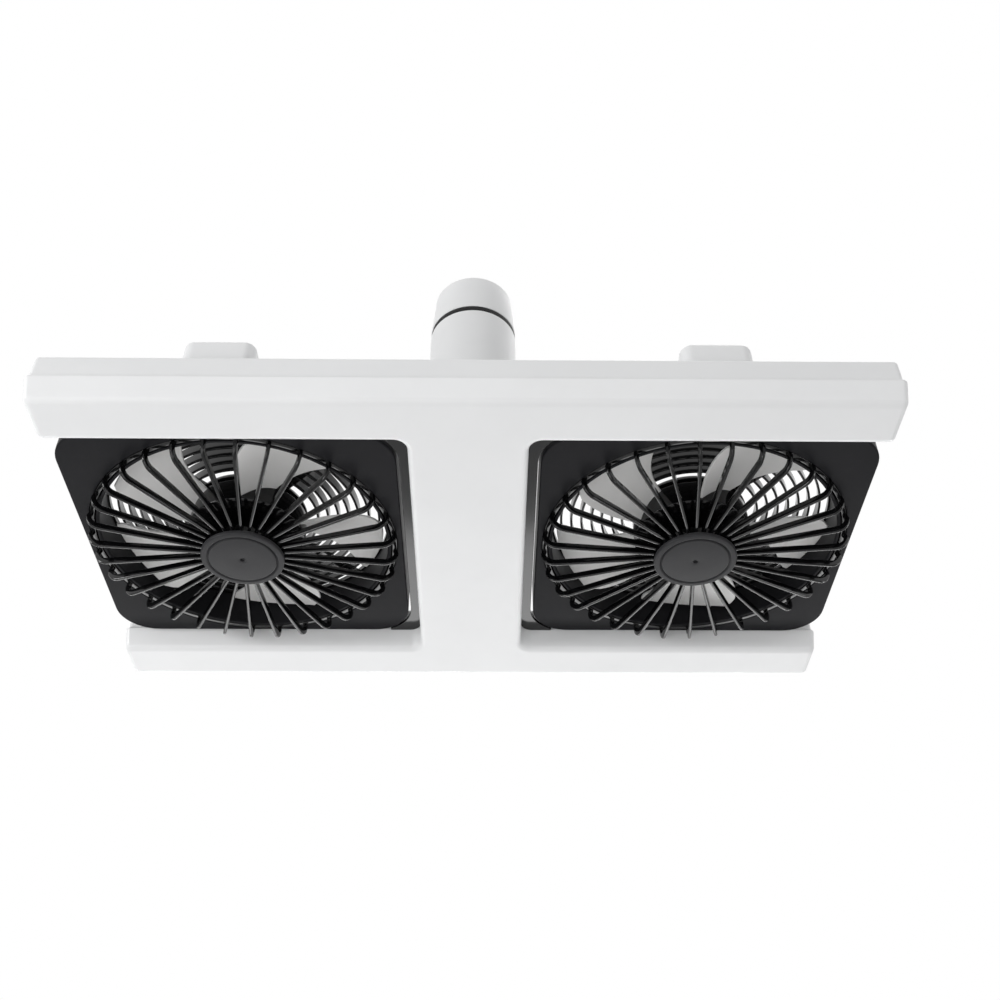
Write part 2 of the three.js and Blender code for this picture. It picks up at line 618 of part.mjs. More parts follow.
/** Screw shell, insulator and centre contact of the lamp cap. */
function screwCap() {
  const neck = CAP_RADIUS - CAP_NECK_STEP;
  const mouth = CAP_RADIUS - CAP_WALL - CAP_SHOULDER_STEP;
  const coneBase = CAP_SHELL_TOP + SNUG;
  const cup = turned([
    [neck - CAP_WALL, CROWN_SEAT],
    [neck, CROWN_SEAT],
    [neck, CROWN_SEAT + CAP_NECK_HEIGHT],
    [CAP_RADIUS, CROWN_SEAT + CAP_NECK_HEIGHT + CAP_NECK_STEP],
    [CAP_RADIUS, CAP_SHELL_TOP - CAP_SHOULDER],
    [mouth + CAP_WALL / 2, CAP_SHELL_TOP],
    [mouth - CAP_WALL / 2, CAP_SHELL_TOP],
    [neck - CAP_WALL, CAP_SHELL_TOP - CAP_SHOULDER],
  ], MEDIUM);
  const insulator = turned([
    [0, coneBase],
    [mouth, coneBase],
    [mouth, coneBase + EASE],
    [CAP_CONE_TIP_RADIUS + EASE, CAP_CONE_TOP - EASE],
    [CAP_CONE_TIP_RADIUS, CAP_CONE_TOP],
    [0, CAP_CONE_TOP],
  ], COARSE);
  const contact = turned([
    [0, CAP_CONE_TOP],
    [CONTACT_RADIUS, CAP_CONE_TOP],
    [CONTACT_RADIUS, CAP_CONE_TOP + CONTACT_HEIGHT * 0.4],
    [CONTACT_RADIUS * 0.8, CAP_CONE_TOP + CONTACT_HEIGHT * 0.8],
    [CONTACT_RADIUS * CONTACT_FLAT, CONTACT_TOP],
    [0, CONTACT_TOP],
  ], COARSE);
  return [
    piece('cap_shell', cup, nickel),
    piece('cap_insulator', insulator, glass),
    piece('cap_contact', contact, brass),
  ];
}

// ---- Heads, each about its own axis ----

/** Directions from a head's axis that meet its round and square outlines alike. */
function headDirections() {
  const x = HEAD_LENGTH / 2;
  const y = HEAD_DEPTH / 2;
  const first = Math.atan2(y - HEAD_CORNER, x);
  const last = Math.atan2(y, x - HEAD_CORNER);
  const quarter = [first / 2];
  for (let i = 0; i <= CORNER_STEPS; i += 1) {
    const turn = (i / CORNER_STEPS) * (Math.PI / 2);
    quarter.push(Math.atan2(y - HEAD_CORNER + HEAD_CORNER * Math.sin(turn),
      x - HEAD_CORNER + HEAD_CORNER * Math.cos(turn)));
  }
  quarter.push((last + Math.PI / 2) / 2);
  const back = [...quarter].reverse();
  return [
    0, ...quarter, Math.PI / 2, ...back.map((angle) => Math.PI - angle),
    Math.PI, ...quarter.map((angle) => Math.PI + angle), Math.PI * 1.5,
    ...back.map((angle) => Math.PI * 2 - angle),
  ];
}

const DIRECTIONS = headDirections();

/** Distance from the axis to the head's square outline, brought in by an inset. */
function squareReach(angle, inset) {
  const x = HEAD_LENGTH / 2 - inset;
  const y = HEAD_DEPTH / 2 - inset;
  const radius = Math.max(HEAD_CORNER - inset, 1);
  const c = Math.abs(Math.cos(angle));
  const s = Math.abs(Math.sin(angle));
  if (c * (y - radius) >= s * x) {
    return x / c;
  }
  if (s * (x - radius) >= c * y) {
    return y / s;
  }
  const along = (x - radius) * c + (y - radius) * s;
  const square = (x - radius) ** 2 + (y - radius) ** 2 - radius ** 2;
  return along + Math.sqrt(Math.max(along ** 2 - square, 0));
}

const ringAt = (reach, height) => DIRECTIONS.map((angle) => {
  const distance = reach(angle);
  return new THREE.Vector3(distance * Math.cos(angle), distance * Math.sin(angle), height);
});
const squareRing = (inset, height) => ringAt((angle) => squareReach(angle, inset), height);
const roundRing = (radius, height) => ringAt(() => radius, height);

// A bore's corners stand out by this factor, so that its flats clear what plugs into it.
const widestStep = Math.max(...DIRECTIONS.slice(1).map((angle, i) => angle - DIRECTIONS[i]));
const BORE_FACTOR = 1 / Math.cos(widestStep / 2);

/** Front case: panel with skirt, groove for the guard and the round duct, in one moulding. */
function headCase(name) {
  const pocket = SEAT_TOP + CASE_WALL;
  const rings = [
    squareRing(HEAD_EDGE, PANEL_Z),
    squareRing(0, PANEL_Z + HEAD_EDGE),
    squareRing(0, CASE_TOP),
    squareRing(CASE_WALL, CASE_TOP),
    squareRing(CASE_WALL, pocket),
    roundRing(DUCT_RADIUS + DUCT_WALL, pocket),
    roundRing(DUCT_RADIUS + DUCT_WALL, CASE_TOP),
    roundRing(DUCT_RADIUS, CASE_TOP),
    roundRing(DUCT_RADIUS, PANEL_Z + HEAD_EDGE),
    roundRing(DUCT_RADIUS + HEAD_EDGE, PANEL_Z),
    roundRing(DUCT_RADIUS + DUCT_WALL, PANEL_Z),
    roundRing(DUCT_RADIUS + DUCT_WALL, SEAT_TOP),
    roundRing(SEAT_RADIUS * BORE_FACTOR, SEAT_TOP),
    roundRing(SEAT_RADIUS * BORE_FACTOR, PANEL_Z),
  ];
  const edge = HEAD_DEPTH / 2;
  const bosses = [];
  const holes = [];
  for (const side of [-1, 1]) {
    bosses.push(crossRod(PIN_BOSS_RADIUS, side * (DUCT_RADIUS + DUCT_WALL / 2),
      side * (edge - CASE_WALL / 2), PIVOT_RISE, COARSE));
    holes.push(crossRod(PIN_RADIUS + SNUG, side * (edge - PIN_DEPTH - SNUG), side * (edge + OVERCUT),
      PIVOT_RISE, COARSE));
  }
  return piece(name, cut(join(lofted(rings, true), ...bosses), ...holes), satinBlack);
}

/** One guard rib in the XZ plane: straight out from the hub, bent up, then in to its foot. */
function guardRib(innerRadius, reach, footRadius, footHeight) {
  const low = RIB_MIDDLE;
  const bendEnd = reach - RIB_WIDTH / 2;
  const bendStart = bendEnd - RIB_BEND;
  const half = Math.PI / 4;
  const stations = [
    { x: innerRadius, z: low, turn: 0 },
    { x: bendStart, z: low, turn: 0 },
    { x: bendStart + RIB_BEND * Math.sin(half), z: low + RIB_BEND * (1 - Math.cos(half)), turn: half },
    { x: bendEnd, z: low + RIB_BEND, turn: Math.PI / 2 },
    { x: footRadius, z: footHeight, turn: Math.PI / 2 },
  ];
  const rings = stations.map(({ x, z, turn }) => {
    const depth = RIB_HEIGHT - (turn / (Math.PI / 2)) * (RIB_HEIGHT - RIB_WIDTH);
    const across = new THREE.Vector3(Math.sin(turn), 0, -Math.cos(turn)).multiplyScalar(depth / 2);
    const centre = new THREE.Vector3(x, 0, z);
    const wide = new THREE.Vector3(0, RIB_WIDTH / 2, 0);
    const slim = wide.clone().multiplyScalar(RIB_SLIM);
    return [
      centre.clone().add(across).add(slim),
      centre.clone().add(across).sub(slim),
      centre.clone().sub(across).sub(wide),
      centre.clone().sub(across).add(wide),
    ];
  });
  const count = rings[0].length;
  const triangles = [];
  for (let r = 0; r < rings.length - 1; r += 1) {
    for (let i = 0; i < count; i += 1) {
      const next = (i + 1) % count;
      const low0 = r * count;
      const high0 = low0 + count;
      triangles.push(low0 + i, high0 + next, low0 + next, low0 + i, high0 + i, high0 + next);
    }
  }
  const last = (rings.length - 1) * count;
  triangles.push(0, 1, 2, 0, 2, 3, last, last + 2, last + 1, last, last + 3, last + 2);
  const geometry = new THREE.BufferGeometry().setFromPoints(rings.flat());
  geometry.setIndex(triangles);
  return solid(geometry);
}

/** Front guard: ribs between a hub ring and the foot ring that snaps into the case. */
function frontGuard(name) {
  const outer = SEAT_RADIUS - GUARD_FIT;
  const inner = (DUCT_RADIUS + DUCT_WALL + GUARD_FIT) / Math.cos(Math.PI / RIB_COUNT);
  const footTop = SEAT_TOP - SNUG;
  const hubTop = GUARD_FRONT + RIB_HEIGHT + 2 * RING_MARGIN;
  const hubOuter = BADGE_RADIUS - RING_MARGIN;
  const hubRing = turned([
    [hubOuter - HUB_RING_WIDTH, GUARD_FRONT],
    [hubOuter, GUARD_FRONT],
    [hubOuter, hubTop],
    [hubOuter - HUB_RING_WIDTH, hubTop],
  ], RIB_COUNT / 2);
  const footRing = turned([
    [inner, PANEL_Z],
    [outer, PANEL_Z],
    [outer, footTop],
    [inner, footTop],
  ], RIB_COUNT);
  const rib = guardRib(hubOuter - RIB_WIDTH, outer + RIB_BULGE, (outer + inner) / 2, PANEL_Z + EASE);
  const ribs = [];
  for (let i = 0; i < RIB_COUNT; i += 1) {
    ribs.push(rib.rotate([0, 0, ((i + 0.5) * 360) / RIB_COUNT]));
  }
  return piece(name, wasm.Manifold.union([hubRing, footRing, ...ribs]), glossBlack);
}

/** Plain disc with a ring groove, pressed into the guard's hub ring. */
function guardBadge(name) {
  const back = GUARD_FRONT - SNUG;
  const face = back - BADGE_THICKNESS;
  const groove = BADGE_RADIUS - BADGE_GROOVE;
  return piece(name, turned([
    [0, face],
    [groove - GROOVE_WIDTH, face],
    [groove - GROOVE_WIDTH / 2, face + GROOVE_DEPTH],
    [groove, face + BADGE_STEP],
    [BADGE_RADIUS - BADGE_EDGE, face + BADGE_STEP],
    [BADGE_RADIUS, face + BADGE_STEP + BADGE_EDGE],
    [BADGE_RADIUS, back],
    [0, back],
  ], MEDIUM), badgeGrey);
}

/** Rear plate: square with its edge turned in, rings and spokes, and the motor's mount. */
function rearGrille(name) {
  const base = CASE_TOP + SNUG;
  const top = base + REAR_THICKNESS;
  const plate = lofted([
    squareRing(SNUG, base),
    squareRing(SNUG, top - REAR_EDGE),
    squareRing(SNUG + REAR_EDGE, top),
    roundRing(DUCT_RADIUS - EASE, top),
    roundRing(DUCT_RADIUS - EASE, base),
  ], true);
  const mount = turned([
    [SHAFT_RADIUS + FIT, base],
    [MOUNT_RADIUS, base],
    [MOUNT_RADIUS - REAR_EDGE, top],
    [SHAFT_RADIUS + FIT, top],
  ], MEDIUM);
  const pieces = [plate, mount];
  const reach = DUCT_RADIUS - MOUNT_RADIUS;
  const rings = Math.max(Math.round(reach / REAR_RING_PITCH) - 1, 1);
  const pitch = reach / (rings + 1);
  for (let i = 1; i <= rings; i += 1) {
    const radius = MOUNT_RADIUS + i * pitch;
    pieces.push(turned([
      [radius - REAR_RING_WIDTH / 2, base],
      [radius + REAR_RING_WIDTH / 2, base],
      [radius, top - SNUG],
    ], MEDIUM));
  }
  for (let i = 0; i < REAR_SPOKES; i += 1) {
    const spoke = block(MOUNT_RADIUS + reach / 2, 0, base, reach + 2 * REAR_EDGE, REAR_SPOKE_WIDTH,
      REAR_THICKNESS);
    pieces.push(spoke.rotate([0, 0, 45 + (i * 360) / REAR_SPOKES]));
  }
  return piece(name, wasm.Manifold.union(pieces), glossBlack);
}

/** One blade: arched sections from the sleeve out to the tip, swept and pitched. */
function blade(rootRadius, tipRadius) {
  const sections = 2;
  const chordSteps = 3;
  const middle = (SLEEVE_BOTTOM + HUB_TOP) / 2;
  const rings = [];
  for (let i = 0; i <= sections; i += 1) {
    const share = i / sections;
    const radius = rootRadius + (tipRadius - rootRadius) * share;
    const span = THREE.MathUtils.degToRad(BLADE_ROOT_SPAN + (BLADE_SPAN - BLADE_ROOT_SPAN) * share);
    const lead = THREE.MathUtils.degToRad(BLADE_SWEEP) * share * share;
    const depth = BLADE_DEPTH * (1 - BLADE_TAPER * share);
    const ring = [];
    for (const [face, order] of [[1, 1], [-1, -1]]) {
      for (let k = 0; k <= chordSteps; k += 1) {
        const along = order > 0 ? k / chordSteps : 1 - k / chordSteps;
        const angle = lead + span * (along - 0.5);
        const arch = BLADE_ARCH * Math.sin(Math.PI * along);
        const edge = BLADE_EDGE + (1 - BLADE_EDGE) * Math.sin(Math.PI * along);
        const z = middle + depth * (along - 0.5) + arch + (face * edge * BLADE_THICKNESS) / 2;
        ring.push(new THREE.Vector3(radius * Math.cos(angle), radius * Math.sin(angle), z));
      }
    }
    rings.push(ring);
  }
  const count = rings[0].length;
  const triangles = [];
  for (let r = 0; r < sections; r += 1) {
    for (let i = 0; i < count; i += 1) {
      const next = (i + 1) % count;
      triangles.push(r * count + i, r * count + next, (r + 1) * count + next);
      triangles.push(r * count + i, (r + 1) * count + next, (r + 1) * count + i);
    }
  }
  for (let k = 0; k < chordSteps; k += 1) {
    const across = [k, k + 1, count - 2 - k, count - 1 - k];
    const far = across.map((index) => index + sections * count);
    triangles.push(across[0], across[2], across[1], across[0], across[3], across[2]);
    triangles.push(far[0], far[1], far[2], far[0], far[2], far[3]);
  }
  const geometry = new THREE.BufferGeometry().setFromPoints(rings.flat());
  geometry.setIndex(triangles);
  return solid(geometry);
}

/** Blades on their sleeve, which fits over the hub. */
function fanBlades(name) {
  const top = HUB_TOP - FIT;
  const sleeve = turned([
    [HUB_RADIUS + SNUG, SLEEVE_BOTTOM],
    [HUB_RADIUS + SLEEVE_WALL, SLEEVE_BOTTOM],
    [HUB_RADIUS + SLEEVE_WALL, top],
    [HUB_RADIUS + SNUG, top],
  ], MEDIUM);
  const tip = DUCT_RADIUS - TIP_CLEARANCE;
  const single = blade(HUB_RADIUS + SLEEVE_WALL / 2, tip);
  const blades = [];
  for (let i = 0; i < BLADE_COUNT; i += 1) {
    blades.push(single.rotate([0, 0, (i * 360) / BLADE_COUNT]));
  }
  return piece(name, wasm.Manifold.union([sleeve, ...blades]), bladeGrey);
}

/** Hub: a cup open to the rear, with a flange in front of the blades' sleeve. */
function fanHub(name) {
  return piece(name, turned([
    [SHAFT_RADIUS + SNUG, HUB_FACE],
    [HUB_RADIUS - HUB_DISH, HUB_FACE],
    [HUB_RADIUS + SLEEVE_WALL, HUB_FACE + HUB_FLANGE / 2],
    [HUB_RADIUS + SLEEVE_WALL, SLEEVE_BOTTOM - SNUG],
    [HUB_RADIUS, SLEEVE_BOTTOM - SNUG],
    [HUB_RADIUS, HUB_TOP],
    [HUB_RADIUS - HUB_WALL, HUB_TOP],
    [HUB_RADIUS - HUB_WALL, HUB_FACE + HUB_WALL],
    [SHAFT_RADIUS + SNUG, HUB_FACE + HUB_WALL],
  ], MEDIUM), glossBlack);
}

/** Magnet ring, stator, board, bearing and shaft inside the hub. */
function motor(side) {
  const magnetOuter = HUB_RADIUS - HUB_WALL - SNUG;
  const magnetInner = magnetOuter - ROTOR_WALL;
  const magnetBottom = HUB_FACE + HUB_WALL + MAGNET_SETBACK;
  const magnetTop = HUB_TOP - MAGNET_INSET;
  const boardTop = CASE_TOP - BOARD_SETBACK;
  const boardBottom = boardTop - BOARD_THICKNESS;
  const statorOuter = magnetInner - ROTOR_GAP;
  const statorTop = boardBottom - SNUG;
  const statorBottom = statorTop - STATOR_HEIGHT;
  const bearingBore = SHAFT_RADIUS + BEARING_PLAY;
  const magnet = turned([
    [magnetInner, magnetBottom],
    [magnetOuter, magnetBottom],
    [magnetOuter, magnetTop],
    [magnetInner, magnetTop],
  ], MEDIUM);
  const stator = turned([
    [BEARING_RADIUS + SNUG, statorBottom],
    [statorOuter - WINDING_SHOULDER, statorBottom],
    [statorOuter, statorBottom + WINDING_DROP],
    [statorOuter, statorTop - WINDING_DROP],
    [statorOuter - WINDING_SHOULDER, statorTop],
    [BEARING_RADIUS + SNUG, statorTop],
  ], COARSE);
  const board = turned([
    [BEARING_RADIUS + SNUG, boardBottom],
    [statorOuter, boardBottom],
    [statorOuter, boardTop],
    [BEARING_RADIUS + SNUG, boardTop],
  ], COARSE);
  const bearing = turned([
    [bearingBore, statorBottom - BEARING_PROUD],
    [BEARING_RADIUS, statorBottom - BEARING_PROUD],
    [BEARING_RADIUS, CASE_TOP],
    [bearingBore, CASE_TOP],
  ], COARSE);
  const shaft = rod(SHAFT_RADIUS, HUB_FACE + EASE, CASE_TOP + REAR_THICKNESS - EASE, COARSE);
  return {
    fixed: [
      piece(`stator_${side}`, stator, copper),
      piece(`motor_board_${side}`, board, boardGreen),
      piece(`bearing_${side}`, bearing, brass),
    ],
    turning: [
      piece(`rotor_magnet_${side}`, magnet, steel),
      piece(`shaft_${side}`, shaft, steel),
    ],
  };
}

/** Tilt pin with its notched detent disc; the plain end plugs into the head. */
function tiltPin(name, side) {
  const inner = HEAD_DEPTH / 2 - PIN_DEPTH;
  const discStart = BAY_HALF + DETENT_INSET;
  const discEnd = discStart + DETENT_THICKNESS;
  const pin = turned([
    [0, inner],
    [PIN_RADIUS - PIN_CHAMFER, inner],
    [PIN_RADIUS, inner + PIN_CHAMFER],
    [PIN_RADIUS, discStart - COLLAR_LENGTH],
    [PIN_RADIUS + COLLAR_STEP, discStart - COLLAR_LENGTH],
    [PIN_RADIUS + COLLAR_STEP, discEnd + COLLAR_LENGTH],
    [0, discEnd + COLLAR_LENGTH],
  ], ROUGH);
  const outline = [];
  for (let i = 0; i < DETENT_NOTCHES * 2; i += 1) {
    const turn = Math.PI / 2 + (i / DETENT_NOTCHES) * Math.PI;
    const reach = i % 2 === 0 ? DETENT_RADIUS - NOTCH_DEPTH : DETENT_RADIUS;
    outline.push(new THREE.Vector2(reach * Math.cos(turn), reach * Math.sin(turn)));
  }
  const disc = lofted([lift(outline, discStart), lift(outline, discEnd)]);
  return piece(name, join(pin, disc).rotate([side * -90, 0, 0]).translate([0, 0, PIVOT_RISE]), steel);
}

/** Everything that tilts with one head, and the fan that spins in it. */
function head(side) {
  const group = new THREE.Group();
  group.name = `head_${side}`;
  const works = motor(side);
  const fan = new THREE.Group();
  fan.add(fanHub(`fan_hub_${side}`), fanBlades(`fan_blades_${side}`), ...works.turning);
  group.add(
    headCase(`head_case_${side}`),
    frontGuard(`front_guard_${side}`),
    guardBadge(`guard_badge_${side}`),
    rearGrille(`rear_grille_${side}`),
    ...works.fixed,
    fan,
    tiltPin(`tilt_pin_near_${side}`, -1),
    tiltPin(`tilt_pin_far_${side}`, 1),
  );
  return group;
}

// ---- The whole fan, hung below the contact's tip ----
const fan = new THREE.Group();
fan.name = 'twin_head_ceiling_fan';
fan.position.z = -CONTACT_TOP;

fan.add(crown(), ...screwCap(), swivelTube(), swivelNut(), swivelRing());
fan.add(post(), lowerCover(), upperShell(), ...electronics());

for (const [side, direction] of [['left', -1], ['right', 1]]) {
  const x = direction * HEAD_X;
  fan.add(
    detentHump(`hump_near_${side}`, x, -1),
    detentHump(`hump_far_${side}`, x, 1),
    detentSpring(`detent_spring_near_${side}`, x, -1),
    detentSpring(`detent_spring_far_${side}`, x, 1),
    bayLiner(`bay_liner_${side}`, direction > 0 ? 0 : 180),
  );
  const tilting = head(side);
  tilting.position.x = x;
  fan.add(tilting);
}

export default fan;
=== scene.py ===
"""Looks of a twin head ceiling fan: a white H-shaped housing hung by a lamp cap, with two heads."""
import json
import logging
import math
from dataclasses import dataclass
from enum import Enum
from typing import Callable, Sequence

import bpy
from mathutils import Matrix, Vector

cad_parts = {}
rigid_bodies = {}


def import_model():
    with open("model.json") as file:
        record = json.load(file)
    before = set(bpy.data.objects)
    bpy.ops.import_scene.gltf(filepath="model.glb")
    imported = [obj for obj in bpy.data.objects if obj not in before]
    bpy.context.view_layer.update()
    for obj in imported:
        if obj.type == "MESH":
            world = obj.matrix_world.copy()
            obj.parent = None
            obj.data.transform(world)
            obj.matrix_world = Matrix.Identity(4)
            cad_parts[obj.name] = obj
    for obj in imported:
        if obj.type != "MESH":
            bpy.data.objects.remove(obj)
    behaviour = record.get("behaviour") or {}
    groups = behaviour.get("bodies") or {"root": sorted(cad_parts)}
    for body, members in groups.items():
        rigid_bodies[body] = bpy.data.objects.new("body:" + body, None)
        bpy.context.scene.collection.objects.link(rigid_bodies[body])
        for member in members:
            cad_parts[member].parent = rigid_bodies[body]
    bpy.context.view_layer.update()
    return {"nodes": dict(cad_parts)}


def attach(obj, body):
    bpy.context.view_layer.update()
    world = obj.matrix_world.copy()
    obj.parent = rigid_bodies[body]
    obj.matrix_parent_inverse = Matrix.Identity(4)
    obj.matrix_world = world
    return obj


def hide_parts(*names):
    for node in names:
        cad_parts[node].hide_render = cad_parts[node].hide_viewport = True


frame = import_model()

LOG = logging.getLogger("twin_head_fan")
MM = 0.001
CAP_TIP = 203.0 * MM  # the housing's underside lies this far below the origin
SAME_PLACE = 1e-7  # metres
SAME_LEVEL = 1e-6
LEVEL_MARGIN = 1e-5
SQUARE_ON = 0.9  # least part of a face's normal along an axis that it faces
OUTLINE_MARGIN = 1e-3  # millimetres
ARC_MARGIN = 0.05
CORNER_REACH = 1.0  # millimetres beside a corner in which its points are picked
SMOOTH_ANGLE = 50.0  # degrees
LONGEST_ROUNDING = 0.49  # share of a side that a rounded corner may take
Point2 = tuple[float, float]
Colour = tuple[float, float, float]
Piece = bpy.types.Object
Test = Callable[..., bool]
Finishes = dict[str, bpy.types.Material]


class Element(Enum):
    """What a selection picks."""

    CORNER = "VERT"
    EDGE = "EDGE"
    FACE = "FACE"


class Side(Enum):
    """The two heads."""

    LEFT = "left"
    RIGHT = "right"

    @property
    def direction(self) -> int:
        """-1 towards -X, 1 towards +X."""
        return -1 if self is Side.LEFT else 1


def level(height_mm: float) -> float:
    """Frame height in metres of a height above the housing's underside in millimetres."""
    return height_mm * MM - CAP_TIP


# ---------------------------------------------------------------- modelling tools


def object_mode() -> None:
    """Leaves edit mode and deselects every object."""
    if bpy.context.object is not None and bpy.context.object.mode != "OBJECT":
        bpy.ops.object.mode_set(mode="OBJECT")
    bpy.ops.object.select_all(action="DESELECT")


def activate(piece: Piece) -> None:
    """Selects one piece alone and makes it the active one, in object mode.

    Args:
        piece: the object.
    """
    object_mode()
    piece.select_set(True)
    bpy.context.view_layer.objects.active = piece


def edit(piece: Piece) -> None:
    """Opens one piece for editing, and nothing else.

    Args:
        piece: the object to edit.
    """
    activate(piece)
    bpy.ops.object.mode_set(mode="EDIT")
    bpy.ops.mesh.select_mode(type="VERT")


def pick(piece: Piece, element: Element, test: Test) -> None:
    """Selects the corners, edges or faces that pass a test, and leaves the piece in edit mode.

    Args:
        piece: the object to select in.
        element: what to select.
        test: gets a corner's place, an edge's two ends, or a face's centre and normal.
    """
    edit(piece)
    bpy.ops.mesh.select_mode(type=element.value)
    bpy.ops.mesh.select_all(action="DESELECT")
    bpy.ops.object.mode_set(mode="OBJECT")
    mesh = piece.data
    if element is Element.CORNER:
        for vertex in mesh.vertices:
            vertex.select = test(vertex.co)
    elif element is Element.EDGE:
        for edge in mesh.edges:
            edge.select = test(*(mesh.vertices[end].co for end in edge.vertices))
    else:
        for face in mesh.polygons:
            face.select = test(face.center, face.normal)
    bpy.ops.object.mode_set(mode="EDIT")


def at_level(z: float) -> Test:
    """Gives a test that an edge passes if both its ends are at one height in metres."""
    return lambda a, b: abs(a.z - z) < SAME_LEVEL and abs(b.z - z) < SAME_LEVEL


def draw(name: str, points: Sequence[Sequence[float]], closed: bool) -> Piece:
    """Draws a line from corner to corner, starting from a plane merged to one corner.

    Args:
        name: the piece's name.
        points: places in metres, in order.
        closed: whether the last corner joins the first.

    Returns:
        The piece, in edit mode with all of it selected.
    """
    object_mode()
    first = Vector(points[0])
    bpy.ops.mesh.primitive_plane_add(size=MM, location=(0, 0, 0))
    piece = bpy.context.object
    piece.name = name
    edit(piece)
    bpy.ops.mesh.select_all(action="SELECT")
    bpy.ops.mesh.merge(type="CENTER")
    bpy.ops.transform.translate(value=first)
    before = first
    for point in points[1:]:
        here = Vector(point)
        bpy.ops.mesh.extrude_region_move(TRANSFORM_OT_translate={"value": here - before})
        before = here
    if closed:
        ends = (first, before)
        pick(piece, Element.CORNER, lambda place: min((place - end).length for end in ends) < SAME_PLACE)
        bpy.ops.mesh.edge_face_add()
    bpy.ops.mesh.select_all(action="SELECT")
    return piece


def clean(piece: Piece) -> Piece:
    """Merges doubled corners, turns the faces outwards and closes edit mode.

    Args:
        piece: the object to clean.

    Returns:
        The same object.
    """
    edit(piece)
    bpy.ops.mesh.select_all(action="SELECT")
    bpy.ops.mesh.remove_doubles(threshold=2e-6)
    bpy.ops.mesh.normals_make_consistent(inside=False)
    object_mode()
    return piece


def lathe(name: str, profile: Sequence[Point2], steps: int = 96, centre_x: float = 0.0) -> Piece:
    """Spins a profile of (radius, height) pairs in millimetres about an upright axis.

    Args:
        name: the piece's name.
        profile: corners in order; it starts and ends on the axis, or is closed.
        steps: facets round the axis.
        centre_x: where the axis stands along X, in metres.

    Returns:
        The turned piece.
    """
    on_axis = profile[0][0] == 0 and profile[-1][0] == 0
    if profile[0] == profile[-1]:
        profile = profile[:-1]
    points = [(centre_x + radius * MM, 0.0, level(height)) for radius, height in profile]
    piece = draw(name, points, closed=not on_axis)
    bpy.ops.mesh.spin(steps=steps, angle=2 * math.pi, center=(centre_x, 0, 0), axis=(0, 0, 1))
    return clean(piece)


def fillet(corners: Sequence[tuple[float, float, float]], steps: int = 5) -> list[Point2]:
    """Rounds the corners of an open profile.

    Args:
        corners: (radius, height, rounding) in millimetres; the ends aren't rounded.
        steps: straight pieces in each arc.

    Returns:
        The rounded profile.
    """
    result: list[Point2] = [(corners[0][0], corners[0][1])]
    for before, here, after in zip(corners, corners[1:], corners[2:]):
        place = Vector(here[:2])
        back = Vector(before[:2]) - place
        ahead = Vector(after[:2]) - place
        reach = min(here[2], back.length * LONGEST_ROUNDING, ahead.length * LONGEST_ROUNDING)
        if reach <= 0:
            result.append((here[0], here[1]))
            continue
        start = place + back.normalized() * reach
        end = place + ahead.normalized() * reach
        for step in range(steps + 1):
            share = step / steps
            point = start.lerp(place, share).lerp(place.lerp(end, share), share)
            result.append((point.x, point.y))
    result.append((corners[-1][0], corners[-1][1]))
    return result


def apply_modifier(kind: str, **values: object) -> None:
    """Adds a modifier to the active piece, sets it and applies it.

    Args:
        kind: the modifier's type.
        values: its properties.
    """
    bpy.ops.object.modifier_add(type=kind)
    modifier = bpy.context.object.modifiers[-1]
    for key, value in values.items():
        setattr(modifier, key, value)
    bpy.ops.object.modifier_apply(modifier=modifier.name)


def even_normals(piece: Piece) -> Piece:
    """Smooths a piece and weighs its normals by the sizes of its faces.

    Args:
        piece: the object.

    Returns:
        The same object.
    """
    activate(piece)
    bpy.ops.object.shade_smooth_by_angle(angle=math.radians(SMOOTH_ANGLE))
    apply_modifier("WEIGHTED_NORMAL", keep_sharp=True)
    object_mode()
    return piece


def round_edges(piece: Piece, width_mm: float, angle: float) -> Piece:
    """Bevels a piece's sharp edges, smooths it and evens its normals.

    Args:
        piece: the object.
        width_mm: how wide each bevel is.
        angle: edges sharper than this many degrees are bevelled.

    Returns:
        The same object.
    """
    activate(piece)
    apply_modifier("BEVEL", width=width_mm * MM, segments=2, limit_method="ANGLE",
                   angle_limit=math.radians(angle), use_clamp_overlap=True)
    return even_normals(piece)


def smooth(piece: Piece, angle: float = 40.0) -> Piece:
    """Shades a piece smooth where its faces meet at less than an angle.

    Args:
        piece: the object.
        angle: in degrees.

    Returns:
        The same object.
    """
    activate(piece)
    bpy.ops.object.shade_smooth_by_angle(angle=math.radians(angle))
    object_mode()
    return piece


def box(name: str, size: Sequence[float], place: Sequence[float]) -> Piece:
    """Adds a box.

    Args:
        name: the piece's name.
        size: its three sizes in millimetres.
        place: its middle, in metres.

    Returns:
        The box.
    """
    object_mode()
    bpy.ops.mesh.primitive_cube_add(size=1, location=place)
    piece = bpy.context.object
    piece.name = name
    piece.scale = [part * MM for part in size]
    bpy.ops.object.transform_apply(location=True, rotation=False, scale=True)
    return piece


def weld(pieces: Sequence[Piece], name: str) -> Piece:
    """Joins pieces into one object.

    Args:
        pieces: the objects, the first of which stays.
        name: the new name.

    Returns:
        The joined object.
    """
    object_mode()
    for piece in pieces:
        piece.select_set(True)
    bpy.context.view_layer.objects.active = pieces[0]
    bpy.ops.object.join()
    pieces[0].name = name
    object_mode()
    return pieces[0]


